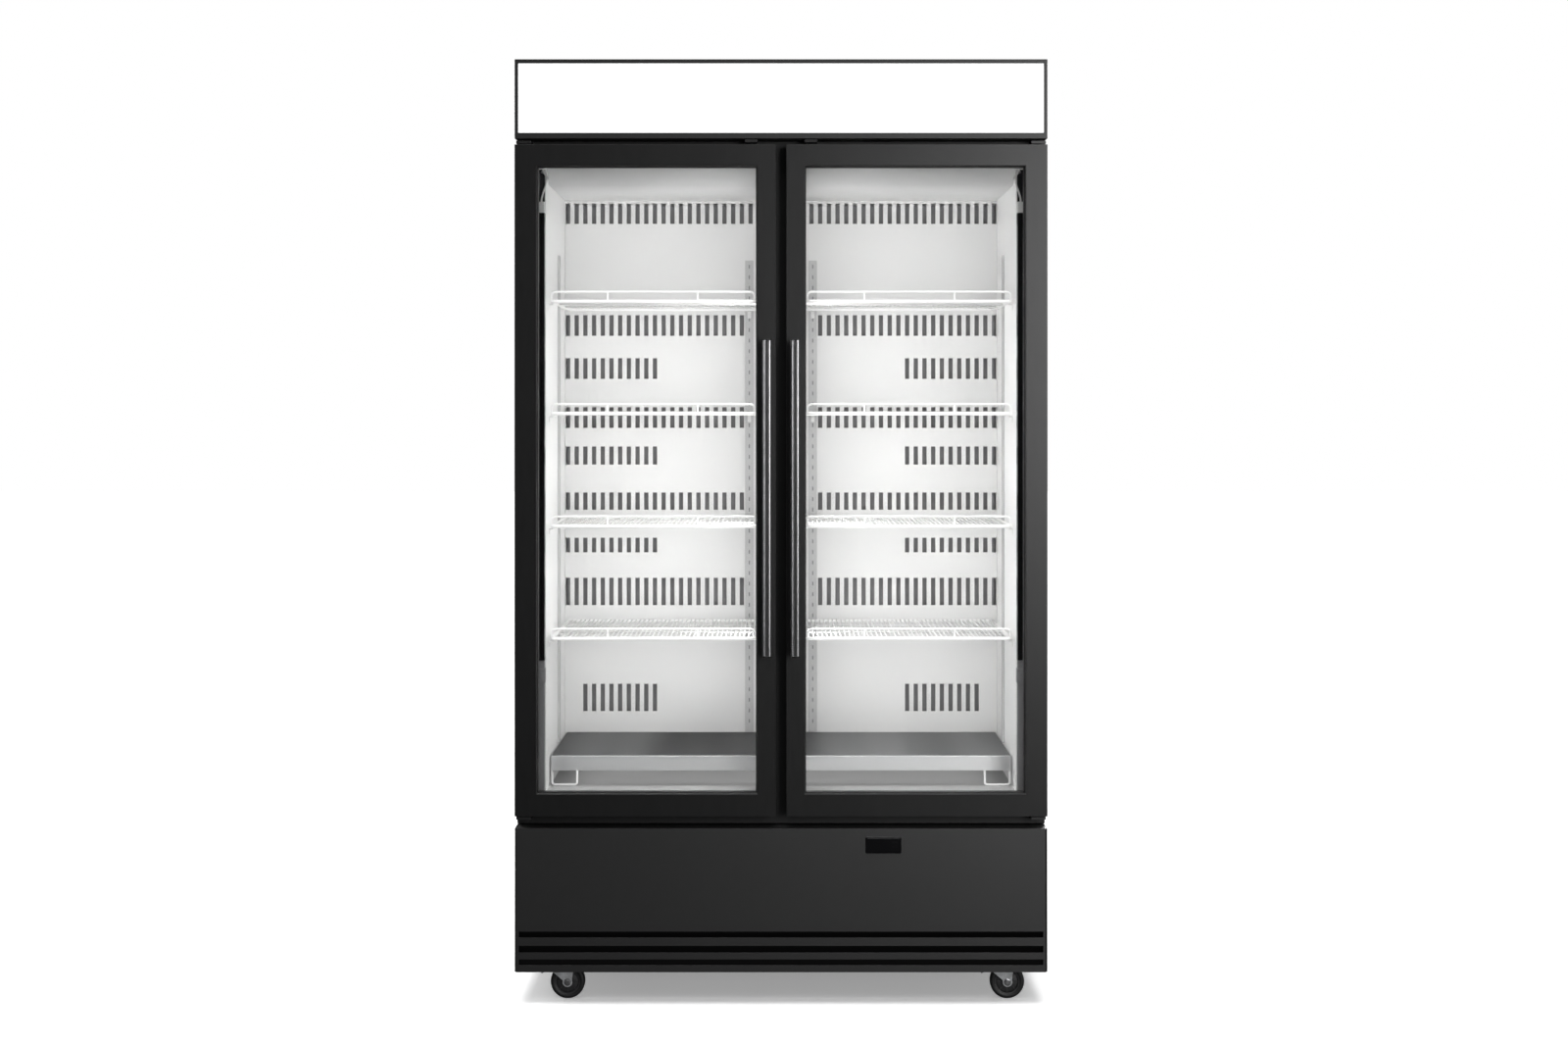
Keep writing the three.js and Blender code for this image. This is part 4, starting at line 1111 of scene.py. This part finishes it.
def brake(word):
    """A stamped pedal on a cross pin, with a ribbed foot pad, between two ears of the fork."""
    lo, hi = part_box(f"castor_wheel_front_{word}")
    centre = (lo + hi) / 2
    x, z = centre.x - TRAIL + PEDAL_PIVOT[0], PEDAL_PIVOT[1]
    node, body = f"brake_pedal_{word}", f"brake_{word}"
    half = 13.5 * MM
    pedal = Shape().disc((x, centre.y - half, z), "y", [(6 * MM, 0), (6 * MM, 2 * half)], 24)
    plate = [(x + dx, z + dz) for dx, dz in PEDAL_PLATE]
    pedal.prism(plate, "y", centre.y - 12 * MM, centre.y + 12 * MM)
    for share in (0.45, 0.6, 0.75, 0.9):
        rib = (x - 22 * MM * share, centre.y, z - 13.4 * MM * share)
        pedal.box(rib, rib, (-1, -11, 5.4), (0.4, 11, 6.8))
    pedal.piece(f"{node}_pressing", "grey_plastic", "grey_plastic", body, (node,), bevel=0.5 * MM)
    front, back = x + 8 * MM, x - 5 * MM
    ear = [(front, EAR_TOP), (back, EAR_TOP), *arc((x, z), x - back, 180, 360, 8), (front, z + 2 * MM)]
    ears = Shape()
    for y in (centre.y - FORK_HALF, centre.y + LEG_GAP):
        ears.prism(ear, "y", y, y + LEG_SHEET)
    pin = [(3 * MM, 0), (3 * MM, 2 * FORK_HALF + 2 * MM)]
    ears.disc((x, centre.y - FORK_HALF - 1 * MM, z), "y", pin, 16)
    ears.piece(f"brake_ears_{word}", "zinc", "zinc_steel", f"castor_front_{word}", bevel=0.4 * MM)


# ---------- machine compartment and back ----------

COIL_WIDTH = 0.3
COIL_FINS = 90
COIL_ROWS = 7
COIL_PITCH = 29 * MM
COIL_BEND = 14 * MM
COIL_TUBE = 4 * MM


def condenser():
    """Close fins between two end plates, rows of tubes joined by bends, and the fan's shroud."""
    lo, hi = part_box("condenser_coil")
    fins = Shape()
    for x in stepped(lo.x + 6 * MM, lo.x + COIL_WIDTH - 6 * MM, COIL_FINS):
        fins.box((x, lo.y, lo.z), (x, hi.y, hi.z), (-0.15, 0, 2), (0.15, 0, -2))
    fins.piece("condenser_fins", "aluminium", "aluminium_satin", replaces=("condenser_coil",))
    plates = Shape()
    for x in (lo.x, lo.x + COIL_WIDTH - 1 * MM):
        plates.box((x, lo.y, lo.z), (x, hi.y, hi.z), (0, -1, 0), (1, 1, 0))
    plates.piece("condenser_end_plates", "zinc", "zinc_steel")
    tubes = Shape()
    end = lo.x + COIL_WIDTH + 2 * MM
    near, far = lo.y + COIL_BEND, hi.y - COIL_BEND
    for i in range(COIL_ROWS):
        z = lo.z + 15 * MM + i * COIL_PITCH
        for y in (near, far):
            tubes.tube([(lo.x - 2 * MM, y, z), (end, y, z)], COIL_TUBE, 12)
        bend = [(end + u, v, z) for u, v in arc((0, (lo.y + hi.y) / 2), COIL_BEND, -90, 90, 8)]
        tubes.tube([(end - 1 * MM, near, z), *bend, (end - 1 * MM, far, z)], COIL_TUBE, 12)
    tubes.piece("condenser_tubes", "copper", "aluminium_satin")
    dress("condenser_fan_shroud", "black_paint", 0.8 * MM)


FAN_AXIS = (-0.170, 0.222)
FAN_BLADES = 5
FAN_STEPS = 10


def fan_rotor():
    """A hub with five twisted, cambered and swept blades."""
    lo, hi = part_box("condenser_fan_blade")
    centre = (lo + hi) / 2
    centre.x, centre.z = FAN_AXIS
    half = (hi.y - lo.y) / 2 - 1 * MM
    hub = [*in_mm([(20, 0), (24, 3)]), (24 * MM, 2 * half)]
    rotor = Shape().disc(centre - Vector((0, half, 0)), "y", hub, 40)
    for i in range(FAN_BLADES):
        turn = Matrix.Translation(centre) @ Matrix.Rotation(2 * math.pi * i / FAN_BLADES, 4, "Y")
        rotor.bridge([rotor.ring(blade_section(turn, k / FAN_STEPS)) for k in range(FAN_STEPS + 1)])
    rotor.piece("condenser_fan_rotor", "aluminium", "aluminium_satin", "condenser_fan",
                ("condenser_fan_blade",), smooth=40)


def blade_section(turn, share):
    """The blade's cambered section at a share of the way from the hub to the tip."""
    radius = (22 + 60 * share) * MM
    twist = math.radians(38 - 18 * share)
    chord = (15 + 14 * math.sin(math.pi * (0.2 + 0.7 * share))) * MM
    sweep = Matrix.Rotation(math.radians(10 * share), 4, "Y")
    section = []
    for side, thick in ((-1, 1), (0, 1), (1, 1), (1, -1), (0, -1), (-1, -1)):
        along = side * chord
        camber = 0.12 * chord if side == 0 else 0
        y = -along * math.sin(twist) + camber + thick * 0.8 * MM
        section.append(turn @ sweep @ Vector((radius, y, along * math.cos(twist))))
    return section


COMPRESSOR_BASE = [(78, 8), (84, 22), (84, 104), (86.5, 105), (86.5, 110), (82, 111), (80, 116)]
COMPRESSOR_DOME = (76, 70)


def compressor():
    """A domed shell with a welded seam on rubber feet, with its terminal box and the pipes."""
    lo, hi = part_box("compressor")
    centre = Vector(((lo.x + hi.x) / 2, (lo.y + hi.y) / 2, lo.z))
    (neck, shoulder), (reach, rise) = COMPRESSOR_BASE[-1], COMPRESSOR_DOME
    dome = [
        (max(neck - reach * (1 - math.cos(a)), 1), shoulder + rise * math.sin(a))
        for a in stepped(0.1, math.pi / 2, 10)
    ]
    shell = Shape().disc(centre, "z", in_mm(COMPRESSOR_BASE + dome), 56)
    shell.piece("compressor_shell", "black_paint", "black_steel", replaces=("compressor",), smooth=50)
    feet = Shape().box(lo, (hi.x, hi.y, lo.z), (0, 4, 2), (0, -4, 5))
    for x in (lo.x + 14 * MM, hi.x - 14 * MM):
        for y in (lo.y + 20 * MM, hi.y - 20 * MM):
            feet.disc((x, y, lo.z), "z", in_mm([(11, 0), (9, 4), (9, 12), (11, 14)]), 24)
    feet.piece("compressor_feet", "rubber", "black_steel", bevel=0.6 * MM)
    front_foot = (centre.x, lo.y, lo.z)
    terminals = Shape().box(front_foot, front_foot, (-30, -12, 40), (30, 12, 100))
    terminals.piece("compressor_terminal_box", "black_gloss", "black_plastic", bevel=3 * MM)
    coil_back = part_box("condenser_coil")[1].y

    def from_centre(steps):
        return [tuple(c + d for c, d in zip(centre, step)) for step in in_mm(steps)]

    hot = from_centre([(-60, -30, 155), (-80, -40, 185)])
    hot += [(0.06, centre.y - 0.1, 0.34), (0.03, coil_back + 0.08, 0.34)]
    hot += [(0.01, coil_back - 0.014, 0.31), (-0.008, coil_back - 0.014, 0.29)]
    cold = from_centre([(-40, 50, 150), (-90, 70, 180), (-160, 40, 160)])
    cold += [(-0.036, centre.y, lo.z + 0.15)]
    pipes = Shape().tube(smooth_line(hot), 3.5 * MM, 12).tube(smooth_line(cold), 5 * MM, 12)
    pipes.piece("refrigerant_pipes", "copper", "aluminium_satin")
    dress("evaporator_case", "grey_plastic", 6 * MM)


COVER_SHEET = 1.5 * MM
GRILLES = [(-0.43, -0.13), (0.0, 0.3)]
GRILLE_SLOT = 7 * MM
INLET = (0.430, 0.180)
INLET_HALF = (13 * MM, 9 * MM)


def rear_cover():
    """A pressed cover with two louvred grilles and a hole for the power inlet."""
    lo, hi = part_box("rear_cover")
    x, z = INLET
    half_x, half_z = INLET_HALF
    slots = stepped(0.15, 0.33, 12)
    us = sorted({lo.x, hi.x, *[edge for grille in GRILLES for edge in grille], x - half_x, x + half_x})
    vs = sorted({lo.z, hi.z, z - half_z, z + half_z, *slots, *[slot + GRILLE_SLOT for slot in slots]})

    def is_hole(u, v):
        in_grille = any(a < u < b for a, b in GRILLES)
        in_slot = any(slot < v < slot + GRILLE_SLOT for slot in slots)
        in_inlet = abs(u - x) < half_x and abs(v - z) < half_z
        return in_inlet or (in_grille and in_slot)

    cover = Shape().pierced(us, vs, is_hole, lambda u, v: (u, hi.y, v), (0, -COVER_SHEET, 0))
    for x0, x1 in GRILLES:
        for slot in slots:
            section = in_mm([(-1.5, 7.5), (-0.2, 7.5), (-7, -1), (-8.3, -1)])
            cover.prism([(hi.y + dy, slot + dz) for dy, dz in section], "x", x0, x1)
    cover.piece("rear_cover_louvred", "black_paint", "black_steel", replaces=("rear_cover",))
    power_inlet(x, hi.y, z)
    edge = 15 * MM
    places = [(x, hi.y, z) for x in stepped(lo.x + edge, hi.x - edge, 5) for z in (lo.z + edge, hi.z - edge)]
    screws("rear_cover_screws", places, "+y")


def power_inlet(x, y, z):
    """A sunk socket with three flat pins, its face at y."""
    def window(half_x, half_z):
        return (x - half_x * MM, x + half_x * MM, z - half_z * MM, z + half_z * MM)

    section = [(0, -18), (1, -18), (1, 0), (0, -1), (0, -2)]
    profile = [(share, y + back * MM) for share, back in section]
    socket = Shape().window_frame(window(17, 13), window(12.6, 8.6), profile)
    face = (x, y, z)
    socket.box(face, face, (-15, -18, -11), (15, -16, 11))
    socket.piece("power_inlet", "black_gloss", "black_plastic")
    pins = Shape()
    for dx, dz in ((-7, -1.5), (0, 2.5), (7, -1.5)):
        pins.box(face, face, (dx - 1, -16, dz - 2), (dx + 1, -4, dz + 2))
    pins.piece("power_inlet_pins", "zinc", "zinc_steel")


# ---------- the whole ----------

make_finishes()
make_camera()
make_studio()
cabinet_shell()
duct_panel()
ceiling_panel()
shelf_clips()
deck_and_stand()
for word, side in SIDES.items():
    led_lamp(word, side)
for word, side in SIDES.items():
    led_lead(word, side)
hinges()
lower_front()
condenser()
fan_rotor()
compressor()
rear_cover()
for word, side in SIDES.items():
    post(f"side_post_{word}", "+x" if side < 0 else "-x")
    post(f"rear_post_{word}", "-y")
    for number in SHELVES:
        shelf(word, side, number)
    door(word)
    for row in ROWS:
        castor(row, word)
    brake(word)

bpy.context.view_layer.update()
